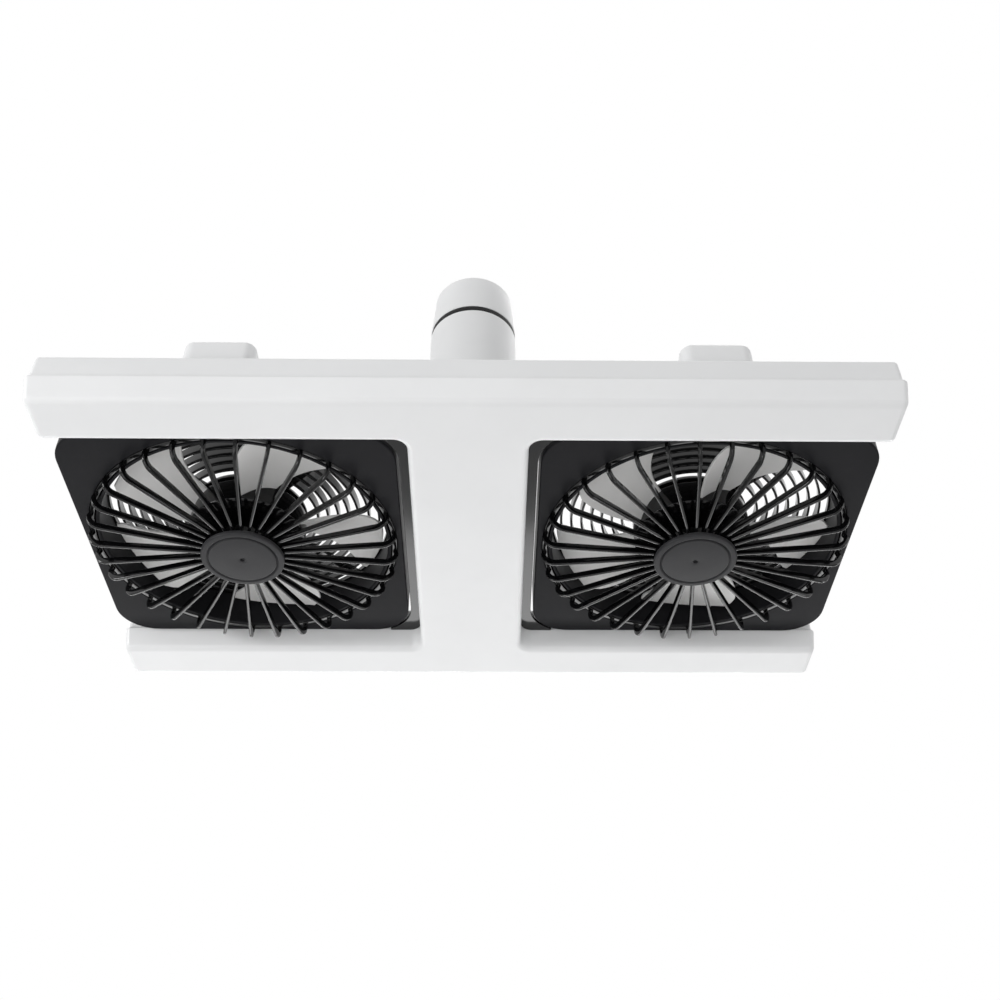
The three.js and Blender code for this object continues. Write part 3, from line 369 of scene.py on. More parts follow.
def turned_copies(piece: Piece, count: int, centre_x: float, start: float = 0.0) -> list[Piece]:
    """Copies a piece evenly round an upright axis, each copy with its own mesh.

    Args:
        piece: the pattern, which becomes the first copy.
        count: how many there are in all.
        centre_x: where the axis stands along X, in metres.
        start: angle of the first copy, in radians.

    Returns:
        All the copies.
    """
    centre = Matrix.Translation((centre_x, 0, 0))
    pattern = piece.data.copy()
    copies = [piece]
    for _ in range(1, count):
        copy = piece.copy()
        copy.data = pattern.copy()
        bpy.context.collection.objects.link(copy)
        copies.append(copy)
    for index, copy in enumerate(copies):
        turn = Matrix.Rotation(start + index * 2 * math.pi / count, 4, "Z")
        copy.data.transform(centre @ turn @ centre.inverted())
    bpy.data.meshes.remove(pattern)
    return copies


def unite(body: Piece, others: Sequence[Piece]) -> Piece:
    """Unites closed pieces into one closed body.

    Args:
        body: the piece that takes the others in.
        others: the pieces that go into it.

    Returns:
        The united body.
    """
    group = bpy.data.collections.new("united")
    bpy.context.scene.collection.children.link(group)
    for other in others:
        for holder in list(other.users_collection):
            holder.objects.unlink(other)
        group.objects.link(other)
    activate(body)
    apply_modifier("BOOLEAN", operation="UNION", solver="MANIFOLD", operand_type="COLLECTION",
                   collection=group)
    for other in list(group.objects):
        bpy.data.objects.remove(other)
    bpy.data.collections.remove(group)
    return body


def place_on(piece: Piece, body: str, slot: str, node: str, finishes: Finishes) -> None:
    """Hands a finished piece over: its body, slot, material and the node that it stands for.

    Args:
        piece: the finished object.
        body: the body that it moves with.
        slot: the record's material slot.
        node: the node that it replaces.
        finishes: materials by slot.
    """
    piece.data.materials.clear()
    piece.data.materials.append(finishes[slot])
    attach(piece, body)
    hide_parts(node)
    LOG.info("%s: %d faces on %s", piece.name, len(piece.data.polygons), body)


# ---------------------------------------------------------------- finishes


class ShaderBench:
    """Places and feeds nodes in one tree."""

    def __init__(self, tree: bpy.types.NodeTree) -> None:
        """Takes the tree to work on."""
        self.tree = tree

    def add(self, kind: str, feeds: dict[object, object] | None = None, **values: object) -> bpy.types.Node:
        """Adds a node, sets its properties and feeds its inputs.

        Args:
            kind: the node's type name.
            feeds: values or sockets by the input's name or number.
            values: properties to set.

        Returns:
            The node.
        """
        node = self.tree.nodes.new(kind)
        for key, value in values.items():
            setattr(node, key, value)
        self.feed(node, feeds or {})
        return node

    def feed(self, node: bpy.types.Node, feeds: dict[object, object]) -> None:
        """Links a node's inputs to sockets, or sets them to values.

        Args:
            node: the node.
            feeds: values or sockets by the input's name or number.
        """
        for key, value in feeds.items():
            if isinstance(value, bpy.types.NodeSocket):
                self.tree.links.new(value, node.inputs[key])
            else:
                node.inputs[key].default_value = value

    def noise(self, **feeds: object) -> bpy.types.NodeSocket:
        """Adds a noise texture with values or sockets by the input's name, and gives its value."""
        return self.add("ShaderNodeTexNoise", feeds).outputs["Fac"]

    def math(self, operation: str, *terms: object) -> bpy.types.NodeSocket:
        """Adds a sum on values or sockets and gives its result."""
        return self.add("ShaderNodeMath", dict(enumerate(terms)), operation=operation).outputs[0]

    def ramp(self, value: bpy.types.NodeSocket, low: float, high: float) -> bpy.types.NodeSocket:
        """Stretches a range of values to 0 to 1."""
        feeds = {"Value": value, "From Min": low, "From Max": high}
        return self.add("ShaderNodeMapRange", feeds).outputs["Result"]

    def mix(self, factor: bpy.types.NodeSocket, first: object, second: object) -> bpy.types.NodeSocket:
        """Mixes two colours."""
        feeds = {"Factor": factor, "A": first, "B": second}
        return self.add("ShaderNodeMix", feeds, data_type="RGBA").outputs["Result"]


def surface_group(name: str, inputs: dict[str, object]) -> tuple:
    """Makes an empty node group that gives a colour, a roughness and a height.

    Args:
        name: the group's name.
        inputs: the default of each input; a colour's has four parts.

    Returns:
        The group, its bench, its input sockets and its output node.
    """
    group = bpy.data.node_groups.new(name, "ShaderNodeTree")
    for label, default in inputs.items():
        kind = "NodeSocketColor" if isinstance(default, tuple) else "NodeSocketFloat"
        socket = group.interface.new_socket(label, in_out="INPUT", socket_type=kind)
        socket.default_value = default
    group.interface.new_socket("Colour", in_out="OUTPUT", socket_type="NodeSocketColor")
    for label in ("Roughness", "Height"):
        group.interface.new_socket(label, in_out="OUTPUT", socket_type="NodeSocketFloat")
    bench = ShaderBench(group)
    return group, bench, bench.add("NodeGroupInput").outputs, bench.add("NodeGroupOutput")


def moulded_surface() -> bpy.types.NodeTree:
    """Builds the surface of a moulded plastic: eroded grain, flow marks and settled dust.

    Returns:
        The node group.
    """
    group, bench, given, result = surface_group("moulded_surface", {
        "Tint": (0.5, 0.5, 0.5, 1), "Deep Tint": (0.4, 0.4, 0.4, 1), "Grain Scale": 1400.0,
        "Gloss": 0.4, "Gloss Spread": 0.08, "Dust": 0.05})
    place = bench.add("ShaderNodeTexCoord").outputs["Object"]
    flow = bench.noise(Vector=place, Scale=18.0, Detail=4.0)
    grain = bench.noise(Vector=place, Scale=given["Grain Scale"], Detail=2.0, Roughness=0.6)
    fleck = bench.noise(Vector=place, Scale=160.0, Detail=5.0)
    tint = bench.mix(bench.ramp(flow, 0.35, 0.65), given["Deep Tint"], given["Tint"])
    amount = bench.math("MULTIPLY", bench.ramp(fleck, 0.52, 0.74), given["Dust"])
    dusted = bench.mix(amount, tint, (0.36, 0.355, 0.35, 1))
    centred = bench.math("SUBTRACT", fleck, 0.5)
    gloss = bench.math("MULTIPLY_ADD", centred, given["Gloss Spread"], given["Gloss"])
    bench.feed(result, {"Colour": dusted, "Roughness": bench.math("ADD", gloss, amount), "Height": grain})
    return group


def metal_surface() -> bpy.types.NodeTree:
    """Builds the surface of plated or drawn metal: fine streaks and a dull film in patches.

    Returns:
        The node group.
    """
    group, bench, given, result = surface_group("metal_surface", {
        "Tint": (0.6, 0.6, 0.6, 1), "Film Tint": (0.4, 0.4, 0.4, 1), "Streak Scale": 500.0, "Gloss": 0.25})
    place = bench.add("ShaderNodeTexCoord").outputs["Object"]
    stretched = bench.add("ShaderNodeMapping", {"Vector": place, "Scale": (1.0, 1.0, 14.0)}).outputs["Vector"]
    streak = bench.noise(Vector=stretched, Scale=given["Streak Scale"], Detail=3.0)
    patch = bench.ramp(bench.noise(Vector=place, Scale=120.0, Detail=6.0), 0.45, 0.72)
    tint = bench.mix(patch, given["Tint"], given["Film Tint"])
    dull = bench.math("MULTIPLY_ADD", patch, 0.18, given["Gloss"])
    bench.feed(result, {"Colour": tint, "Roughness": dull, "Height": streak})
    return group


@dataclass(frozen=True)
class Finish:
    """One material: a surface group with its own values on a principled shader."""

    name: str
    tint: Colour
    deep_tint: Colour
    gloss: float
    scale: float = 1400.0
    gloss_spread: float = 0.08
    dust: float = 0.0
    bump: float = 0.05
    grain_depth_mm: float = 0.02
    metallic: float = 0.0
    coat: float = 0.0
    coat_gloss: float = 0.1
    specular: float = 0.5

    def build(self, groups: dict[str, bpy.types.NodeTree]) -> bpy.types.Material:
        """Makes the material.

        Args:
            groups: the shared surface groups, by name.

        Returns:
            The material.
        """
        material = bpy.data.materials.new(self.name)
        material.use_nodes = True
        bench = ShaderBench(material.node_tree)
        shader = material.node_tree.nodes["Principled BSDF"]
        metal = self.metallic > 0.5
        surface = bench.add("ShaderNodeGroup", node_tree=groups["metal" if metal else "moulded"])
        bench.feed(surface, {"Tint": (*self.tint, 1), "Gloss": self.gloss})
        if metal:
            bench.feed(surface, {"Film Tint": (*self.deep_tint, 1), "Streak Scale": self.scale})
        else:
            bench.feed(surface, {"Deep Tint": (*self.deep_tint, 1), "Grain Scale": self.scale,
                                 "Gloss Spread": self.gloss_spread, "Dust": self.dust})
        bench.feed(shader, {
            "Base Color": surface.outputs["Colour"], "Roughness": surface.outputs["Roughness"],
            "Metallic": self.metallic, "Specular IOR Level": self.specular,
            "Coat Weight": self.coat, "Coat Roughness": self.coat_gloss})
        if self.bump > 0:
            bump = bench.add("ShaderNodeBump", {
                "Strength": self.bump, "Distance": self.grain_depth_mm * MM,
                "Height": surface.outputs["Height"]})
            bench.feed(shader, {"Normal": bump.outputs["Normal"]})
        return material


FINISHES = (
    Finish("shell_white", (0.80, 0.805, 0.81), (0.775, 0.78, 0.785), 0.38, scale=2200.0, gloss_spread=0.1,
           dust=0.012, bump=0.35, grain_depth_mm=0.03),
    Finish("panel_black", (0.015, 0.015, 0.0168), (0.012, 0.012, 0.0138), 0.42, scale=1900.0,
           gloss_spread=0.1, dust=0.006, bump=0.5, grain_depth_mm=0.04, specular=0.06),
    Finish("gloss_black", (0.003, 0.003, 0.0034), (0.002, 0.002, 0.0024), 0.11, scale=700.0,
           gloss_spread=0.05, dust=0.001, bump=0.08, grain_depth_mm=0.02, specular=0.5),
    Finish("disc_grey", (0.034, 0.034, 0.036), (0.030, 0.030, 0.032), 0.36, scale=2400.0, gloss_spread=0.1,
           dust=0.006, bump=0.3, grain_depth_mm=0.02, specular=0.1),
    Finish("blade_grey", (0.80, 0.795, 0.785), (0.76, 0.755, 0.745), 0.36, scale=1200.0, gloss_spread=0.1,
           dust=0.03, bump=0.2, grain_depth_mm=0.02),
    Finish("ring_rubber", (0.004, 0.004, 0.0045), (0.003, 0.003, 0.0035), 0.55, scale=1600.0, dust=0.004,
           bump=0.5, grain_depth_mm=0.04, specular=0.25),
    Finish("nickel_cap", (0.66, 0.65, 0.62), (0.50, 0.49, 0.46), 0.22, scale=260.0, bump=0.1,
           grain_depth_mm=0.02, metallic=1.0),
    Finish("steel", (0.50, 0.51, 0.53), (0.36, 0.37, 0.39), 0.28, scale=260.0, bump=0.1, grain_depth_mm=0.02,
           metallic=1.0),
    Finish("brass_contact", (0.60, 0.44, 0.19), (0.40, 0.28, 0.12), 0.3, scale=260.0, bump=0.15,
           grain_depth_mm=0.02, metallic=1.0),
    Finish("copper_winding", (0.50, 0.19, 0.07), (0.32, 0.10, 0.04), 0.34, scale=420.0, bump=0.6,
           grain_depth_mm=0.1, metallic=1.0),
    Finish("insulator_glass", (0.006, 0.006, 0.010), (0.004, 0.004, 0.008), 0.08, scale=300.0, bump=0.05,
           coat=0.5, coat_gloss=0.04),
    Finish("board_green", (0.014, 0.10, 0.04), (0.010, 0.07, 0.03), 0.4, scale=500.0, dust=0.02, bump=0.2),
    Finish("magnet_ferrite", (0.05, 0.05, 0.052), (0.04, 0.04, 0.042), 0.55, scale=900.0, dust=0.03,
           bump=0.4),
)


# ---------------------------------------------------------------- the housing


@dataclass(frozen=True)
class Outline:
    """One level of the H: its height and how far each kind of edge is brought in, in millimetres."""

    height: float
    outer: float
    bay: float
    end: float
    strip: float


RIM_STEPS = 4
ARC_STEPS = 8
SLOPE_SHARES = (0.05, 0.3, 0.55)  # where the slope's levels lie, as shares of its height
SEAM_EDGE = ((0.0, 0.3), (0.1, 0.1), (0.3, 0.0))  # (height over the seam, inset) in millimetres
LOWER_ROUNDING = ((1.0, 0.0), (0.72, 0.08), (0.45, 0.24), (0.22, 0.48), (0.07, 0.8), (0.0, 1.16))
UPPER_ROUNDING = ((1.0, 0.0), (0.62, 0.07), (0.3, 0.3), (0.07, 0.62), (0.0, 1.0))


@dataclass
class Housing:
    """H-shaped body: a dished cover below, an upright shell above, and four humps over the pivots."""

    length: float = 360.0
    depth: float = 210.0
    rail_width: float = 31.0
    strip_width: float = 51.6
    seam_height: float = 11.4
    top_height: float = 23.0
    slope_run: float = 4.0
    end_slope: float = 0.9
    bay_corner: float = 6.0
    rail_corner: float = 2.6
    least_corner: float = 0.8
    lower_round: float = 2.4
    upper_round: float = 1.5
    rim_round: float = 0.9
    end_overhang: float = 0.8
    side_ledge: float = 0.7
    end_ledge: float = 0.5
    seam_gap: float = 0.2
    hump_x: float = 106.3
    hump_length: float = 31.0
    hump_width: float = 24.0
    hump_height: float = 17.0
    hump_setback: float = 0.8
    hump_side_round: float = 5.0
    hump_top_round: float = 2.6
    liner_gap: float = 0.1
    liner_level: float = 9.6
    liner_wall: float = 1.6
    liner_height: float = 11.0
    liner_end: float = 1.4
    liner_edge: float = 0.3
    head_bend: float = 19.2
    head_bend_x: float = 49.8
    head_bend_y: float = 55.0

    def outline(self, name: str, at: Outline) -> Piece:
        """Draws the H at one height, with its corners rounded.

        Args:
            name: the piece's name.
            at: the level to draw.

        Returns:
            The outline, in edit mode.
        """
        end, outer = self.length / 2 - at.end, self.depth / 2 - at.outer
        inner, strip = self.depth / 2 - self.rail_width + at.bay, self.strip_width / 2 - at.strip
        quarter = [(end, outer), (end, inner), (strip, inner)]
        corners = [(x, -y) for x, y in quarter] + [(x, y) for x, y in reversed(quarter)]
        corners += [(-x, y) for x, y in quarter] + [(-x, -y) for x, y in reversed(quarter)]
        piece = draw(name, [(x * MM, y * MM, level(at.height)) for x, y in corners], closed=True)
        pick(piece, Element.CORNER, lambda place: abs(place.x) < (strip + CORNER_REACH) * MM)
        bpy.ops.mesh.bevel(offset=(self.bay_corner + at.strip) * MM, segments=10, affect="VERTICES")
        pick(piece, Element.CORNER, lambda place: abs(place.x) > (end - CORNER_REACH) * MM)
        rounding = max(self.rail_corner - max(at.end, 0) / 2, self.least_corner)
        bpy.ops.mesh.bevel(offset=rounding * MM, segments=5, affect="VERTICES")
        return piece

    def loft(self, name: str, levels: Sequence[Outline]) -> Piece:
        """Bridges outlines into a closed body.

        Args:
            name: the piece's name.
            levels: the outlines, in order.

        Returns:
            The body.
        """
        piece = weld([self.outline(f"{name}_{index}", at) for index, at in enumerate(levels)], name)
        heights = [level(at.height) for at in levels]
        for pair in zip(heights, heights[1:]):
            pick(piece, Element.EDGE, lambda a, b: abs(a.z - b.z) < SAME_PLACE
                 and min(abs(a.z - height) for height in pair) < SAME_LEVEL)
            bpy.ops.mesh.bridge_edge_loops()
        for height in (heights[0], heights[-1]):
            pick(piece, Element.EDGE, at_level(height))
            bpy.ops.mesh.edge_face_add()
        return even_normals(clean(piece))

    def lower_cover(self) -> Piece:
        """Makes the dished cover with its sloping sides.

        Returns:
            The cover.
        """
        rim = self.seam_height - self.seam_gap / 2
        slope_top = rim - self.rim_round
        levels = []
        for step in range(RIM_STEPS + 1):
            turn = math.pi / 2 * step / RIM_STEPS
            inset = self.rim_round * (1 - math.sin(turn))
            height = rim - self.rim_round * (1 - math.cos(turn))
            levels.append(Outline(height, inset, inset, inset - self.end_overhang, inset))
        runs = [(slope_top * (1 - share), 0.0) for share in SLOPE_SHARES]
        runs += [(self.lower_round * fall, self.lower_round * reach) for fall, reach in LOWER_ROUNDING]
        for height, inset in runs:
            share = 1 - height / slope_top
            side = self.slope_run * share + inset
            end = self.end_slope * share + inset - self.end_overhang
            levels.append(Outline(height, side, side, end, inset))
        return self.loft("lower_cover_skin", levels)

    def upper_shell(self) -> Piece:
        """Makes the upper shell with its upright sides.

        Returns:
            The shell.
        """
        base = self.seam_height + self.seam_gap / 2
        runs = [(base + height, inset) for height, inset in SEAM_EDGE]
        runs += [(self.top_height - self.upper_round * fall, self.upper_round * reach)
                 for fall, reach in UPPER_ROUNDING]
        return self.loft("upper_shell_skin", [
            Outline(height, self.side_ledge + inset, inset, self.end_ledge + inset, inset)
            for height, inset in runs])

    def arc(self, centre: Point2, radius: float, start: float, stop: float) -> list[Point2]:
        """Lists the points of an arc.

        Args:
            centre: the centre's place.
            radius: the arc's radius.
            start: the first angle, in radians.
            stop: the last angle, in radians.

        Returns:
            The points, in order.
        """
        turns = [start + (stop - start) * step / ARC_STEPS for step in range(ARC_STEPS + 1)]
        return [(centre[0] + radius * math.cos(turn), centre[1] + radius * math.sin(turn)) for turn in turns]

    def prism(self, name: str, half: Sequence[Point2], height: float, side: Side) -> Piece:
        """Raises an outline that is mirrored across Y into an upright body on the liners' level.

        Args:
            name: the piece's name.
            half: the outline's half on the +Y side, in the bay on the +X side.
            height: the body's height.
            side: the bay that it goes into.

        Returns:
            The body.
        """
        ring = [(x, -y) for x, y in half] + [(x, y) for x, y in reversed(half)]
        z = level(self.liner_level)
        piece = draw(name, [(side.direction * x * MM, y * MM, z) for x, y in ring], closed=True)
        bpy.ops.mesh.edge_face_add()
        bpy.ops.mesh.extrude_region_move(TRANSFORM_OT_translate={"value": (0, 0, height * MM)})
        return clean(piece)

    def liner(self, side: Side) -> Piece:
        """Makes a bay's black liner: an angle along the strip and round the bay's corners.

        Args:
            side: the bay that it lines.

        Returns:
            The liner.
        """
        reach = self.depth / 2 - self.rail_width - self.liner_gap
        corner = (self.strip_width / 2 + self.liner_gap + self.bay_corner, reach - self.bay_corner)
        last = math.asin((reach - self.liner_end - self.head_bend_y) / self.head_bend)
        outside = self.arc(corner, self.bay_corner, math.pi, math.pi / 2)
        inside = self.arc(corner, self.bay_corner - self.liner_wall, math.pi / 2, math.pi)
        beside = self.arc((self.head_bend_x, self.head_bend_y), self.head_bend, math.pi - last, math.pi)
        flange = self.prism(f"liner_flange_{side.value}", [*outside, (beside[0][0], reach), *beside],
                            self.liner_wall, side)
        piece = self.prism(f"bay_liner_skin_{side.value}", [*outside, *inside], self.liner_height, side)
        return round_edges(clean(unite(piece, [flange])), self.liner_edge, angle=50)

    def hump(self, name: str, x_mm: float, side: int) -> Piece:
        """Makes one rounded cover over a tilt pivot.

        Args:
            name: the piece's name.
            x_mm: its middle along X.
            side: -1 on the near rail, 1 on the far rail.

        Returns:
            The cover.
        """
        inner = self.depth / 2 - self.rail_width + self.hump_setback
        middle = side * (inner + self.hump_width / 2)
        place = (x_mm * MM, middle * MM, level(self.top_height + self.hump_height / 2))
        piece = box(name, (self.hump_length, self.hump_width, self.hump_height), place)
        pick(piece, Element.EDGE, lambda a, b: abs(a.z - b.z) > MM)
        bpy.ops.mesh.bevel(offset=self.hump_side_round * MM, segments=8, affect="EDGES")
        top = level(self.top_height + self.hump_height) - LEVEL_MARGIN
        pick(piece, Element.EDGE, lambda a, b: a.z > top and b.z > top)
        bpy.ops.mesh.bevel(offset=self.hump_top_round * MM, segments=6, affect="EDGES")
        return even_normals(clean(piece))

    def build(self, finishes: Finishes) -> None:
        """Makes the cover, the shell, the liners and the humps.

        Args:
            finishes: materials by slot.
        """
        place_on(self.lower_cover(), "housing", "shell_white", "lower_cover", finishes)
        place_on(self.upper_shell(), "housing", "shell_white", "upper_shell", finishes)
        for side in Side:
            place_on(self.liner(side), "housing", "gloss_black", f"bay_liner_{side.value}", finishes)
            for label, across in (("near", -1), ("far", 1)):
                piece = self.hump(f"pivot_hump_{label}_{side.value}", side.direction * self.hump_x, across)
                place_on(piece, "housing", "shell_white", f"hump_{label}_{side.value}", finishes)


# ---------------------------------------------------------------- post, crown and cap


@dataclass
class Post:
    """The white post, the black swivel ring and the crown with its cup."""

    radius: float = 23.4
    foot_radius: float = 24.1
    foot_height: float = 4.0
    foot_blend: float = 12.0
    base: float = 23.0
    top: float = 152.0
    ring_recess: float = 0.3
    ring_seam: float = 0.05
    crown_base: float = 155.6
    crown_rim: float = 182.8
    crown_seat: float = 173.8
    rim_radius: float = 21.4
    cup_radius: float = 19.0
    wall: float = 2.2
    top_wall: float = 4.0
    bore: float = 9.4
    crown_wall: float = 2.4
    crown_bore: float = 6.5
    seat_wall: float = 3.0
    facets: int = 128

    def tube(self) -> Piece:
        """Makes the post with its flared foot.

        Returns:
            The post.
        """
        inner = self.radius - self.wall
        inner_top = self.top - self.top_wall
        return smooth(lathe("post_tube", fillet([
            (inner, self.base, 0), (self.foot_radius, self.base, 0),
            (self.foot_radius, self.base + self.foot_height * 0.45, 0.6),
            (self.radius, self.base + self.foot_height, 1.6), (self.radius, self.base + self.foot_blend, 3),
            (self.radius, self.top, 0.6), (self.bore, self.top, 0), (self.bore, inner_top, 0),
            (inner, inner_top, 0.8), (inner, self.base, 0)]), self.facets))

    def ring(self) -> Piece:
        """Makes the black ring between the post and the crown.

        Returns:
            The ring.
        """
        outer = self.radius - self.ring_recess
        low, high = self.top + self.ring_seam, self.crown_base - self.ring_seam
        return smooth(lathe("swivel_gasket", fillet([
            (self.bore, low, 0), (outer, low, 0.2), (outer, high, 0.2), (self.bore, high, 0)], 3),
            self.facets))

    def crown(self) -> Piece:
        """Makes the tapered crown with the cup that the cap stands in.

        Returns:
            The crown.
        """
        low = self.radius - self.crown_wall
        seat_low = self.crown_seat - self.seat_wall
        return smooth(lathe("crown_cup", fillet([
            (low, self.crown_base, 0), (self.radius, self.crown_base, 0.6),
            (self.rim_radius, self.crown_rim, 3.2), (self.cup_radius, self.crown_rim - 0.2, 0.6),
            (self.cup_radius, self.crown_seat, 0.8), (self.crown_bore, self.crown_seat, 0),
            (self.crown_bore, seat_low, 0), (low - 1, seat_low, 0.8), (low, self.crown_base, 0)], 6),
            self.facets))

    def build(self, finishes: Finishes) -> None:
        """Makes the three pieces.

        Args:
            finishes: materials by slot.
        """
        place_on(self.tube(), "housing", "shell_white", "post", finishes)
        place_on(self.ring(), "lamp_mount", "ring_rubber", "swivel_ring", finishes)
        place_on(self.crown(), "lamp_mount", "shell_white", "crown", finishes)


@dataclass
class LampCap:
    """Screw cap with its rolled thread, black insulator and centre contact."""

    seat: float = 173.8
    shell_top: float = 192.8
    cone_top: float = 199.8
    tip: float = 203.0
    radius: float = 13.1
    pitch: float = 3.6
    thread_depth: float = 1.15
    thread_start: float = 3.2
    thread_end: float = 2.6
    thread_fade: float = 1.2
    thread_fullness: float = 0.98
    thread_sharpness: float = 0.8
    seat_gap: float = 0.05
    rows: int = 84
    row_share: float = 0.94

    def shell(self) -> Piece:
        """Makes the shell and rolls its thread.

        Returns:
            The threaded shell.
        """
        root = self.radius - self.thread_depth
        rise = self.shell_top - self.seat
        profile: list[Point2] = [(0, self.seat + self.seat_gap)]
        for row in range(self.rows + 1):
            profile.append((root, self.seat + rise * row / self.rows * self.row_share + self.seat_gap))
        profile += [(root - 0.5, self.shell_top - 0.5), (10.4, self.shell_top), (0, self.shell_top)]
        piece = lathe("cap_screw_shell", profile)
        start, stop = self.seat + self.thread_start, self.shell_top - self.thread_end
        for corner in piece.data.vertices:
            out = Vector((corner.co.x, corner.co.y, 0))
            height = (corner.co.z + CAP_TIP) / MM
            if out.length < (root - 0.01) * MM or not start < height < stop:
                continue
            turn = math.atan2(corner.co.y, corner.co.x) / (2 * math.pi)
            wave = 0.5 + 0.5 * math.cos(2 * math.pi * (height / self.pitch - turn))
            ease = min((height - start) / self.thread_fade, (stop - height) / self.thread_fade, 1.0)
            depth = self.thread_depth * MM * self.thread_fullness
            corner.co += out.normalized() * depth * wave ** self.thread_sharpness * ease
        return smooth(piece, 60)

    def insulator(self) -> Piece:
        """Makes the glass cone above the shell.

        Returns:
            The cone.
        """
        return smooth(lathe("cap_glass_cone", fillet([
            (0, self.shell_top + 0.1, 0), (10.9, self.shell_top + 0.1, 0.2),
            (10.7, self.shell_top + 1.3, 0.6), (8.0, self.cone_top - 1.6, 2.0),
            (6.6, self.cone_top, 0.8), (0, self.cone_top, 0)]), steps=64))

    def contact(self) -> Piece:
        """Makes the domed centre contact.

        Returns:
            The contact.
        """
        return smooth(lathe("cap_tip", fillet([
            (0, self.cone_top, 0), (4.6, self.cone_top, 0.3), (4.6, self.cone_top + 1.4, 1.0),
            (2.4, self.tip, 1.6), (0, self.tip, 0)]), steps=48))

    def build(self, finishes: Finishes) -> None:
        """Makes the cap's three pieces.

        Args:
            finishes: materials by slot.
        """
        place_on(self.shell(), "lamp_mount", "nickel_cap", "cap_shell", finishes)
        place_on(self.insulator(), "lamp_mount", "insulator_glass", "cap_insulator", finishes)
        place_on(self.contact(), "lamp_mount", "brass_contact", "cap_contact", finishes)


# ---------------------------------------------------------------- the heads


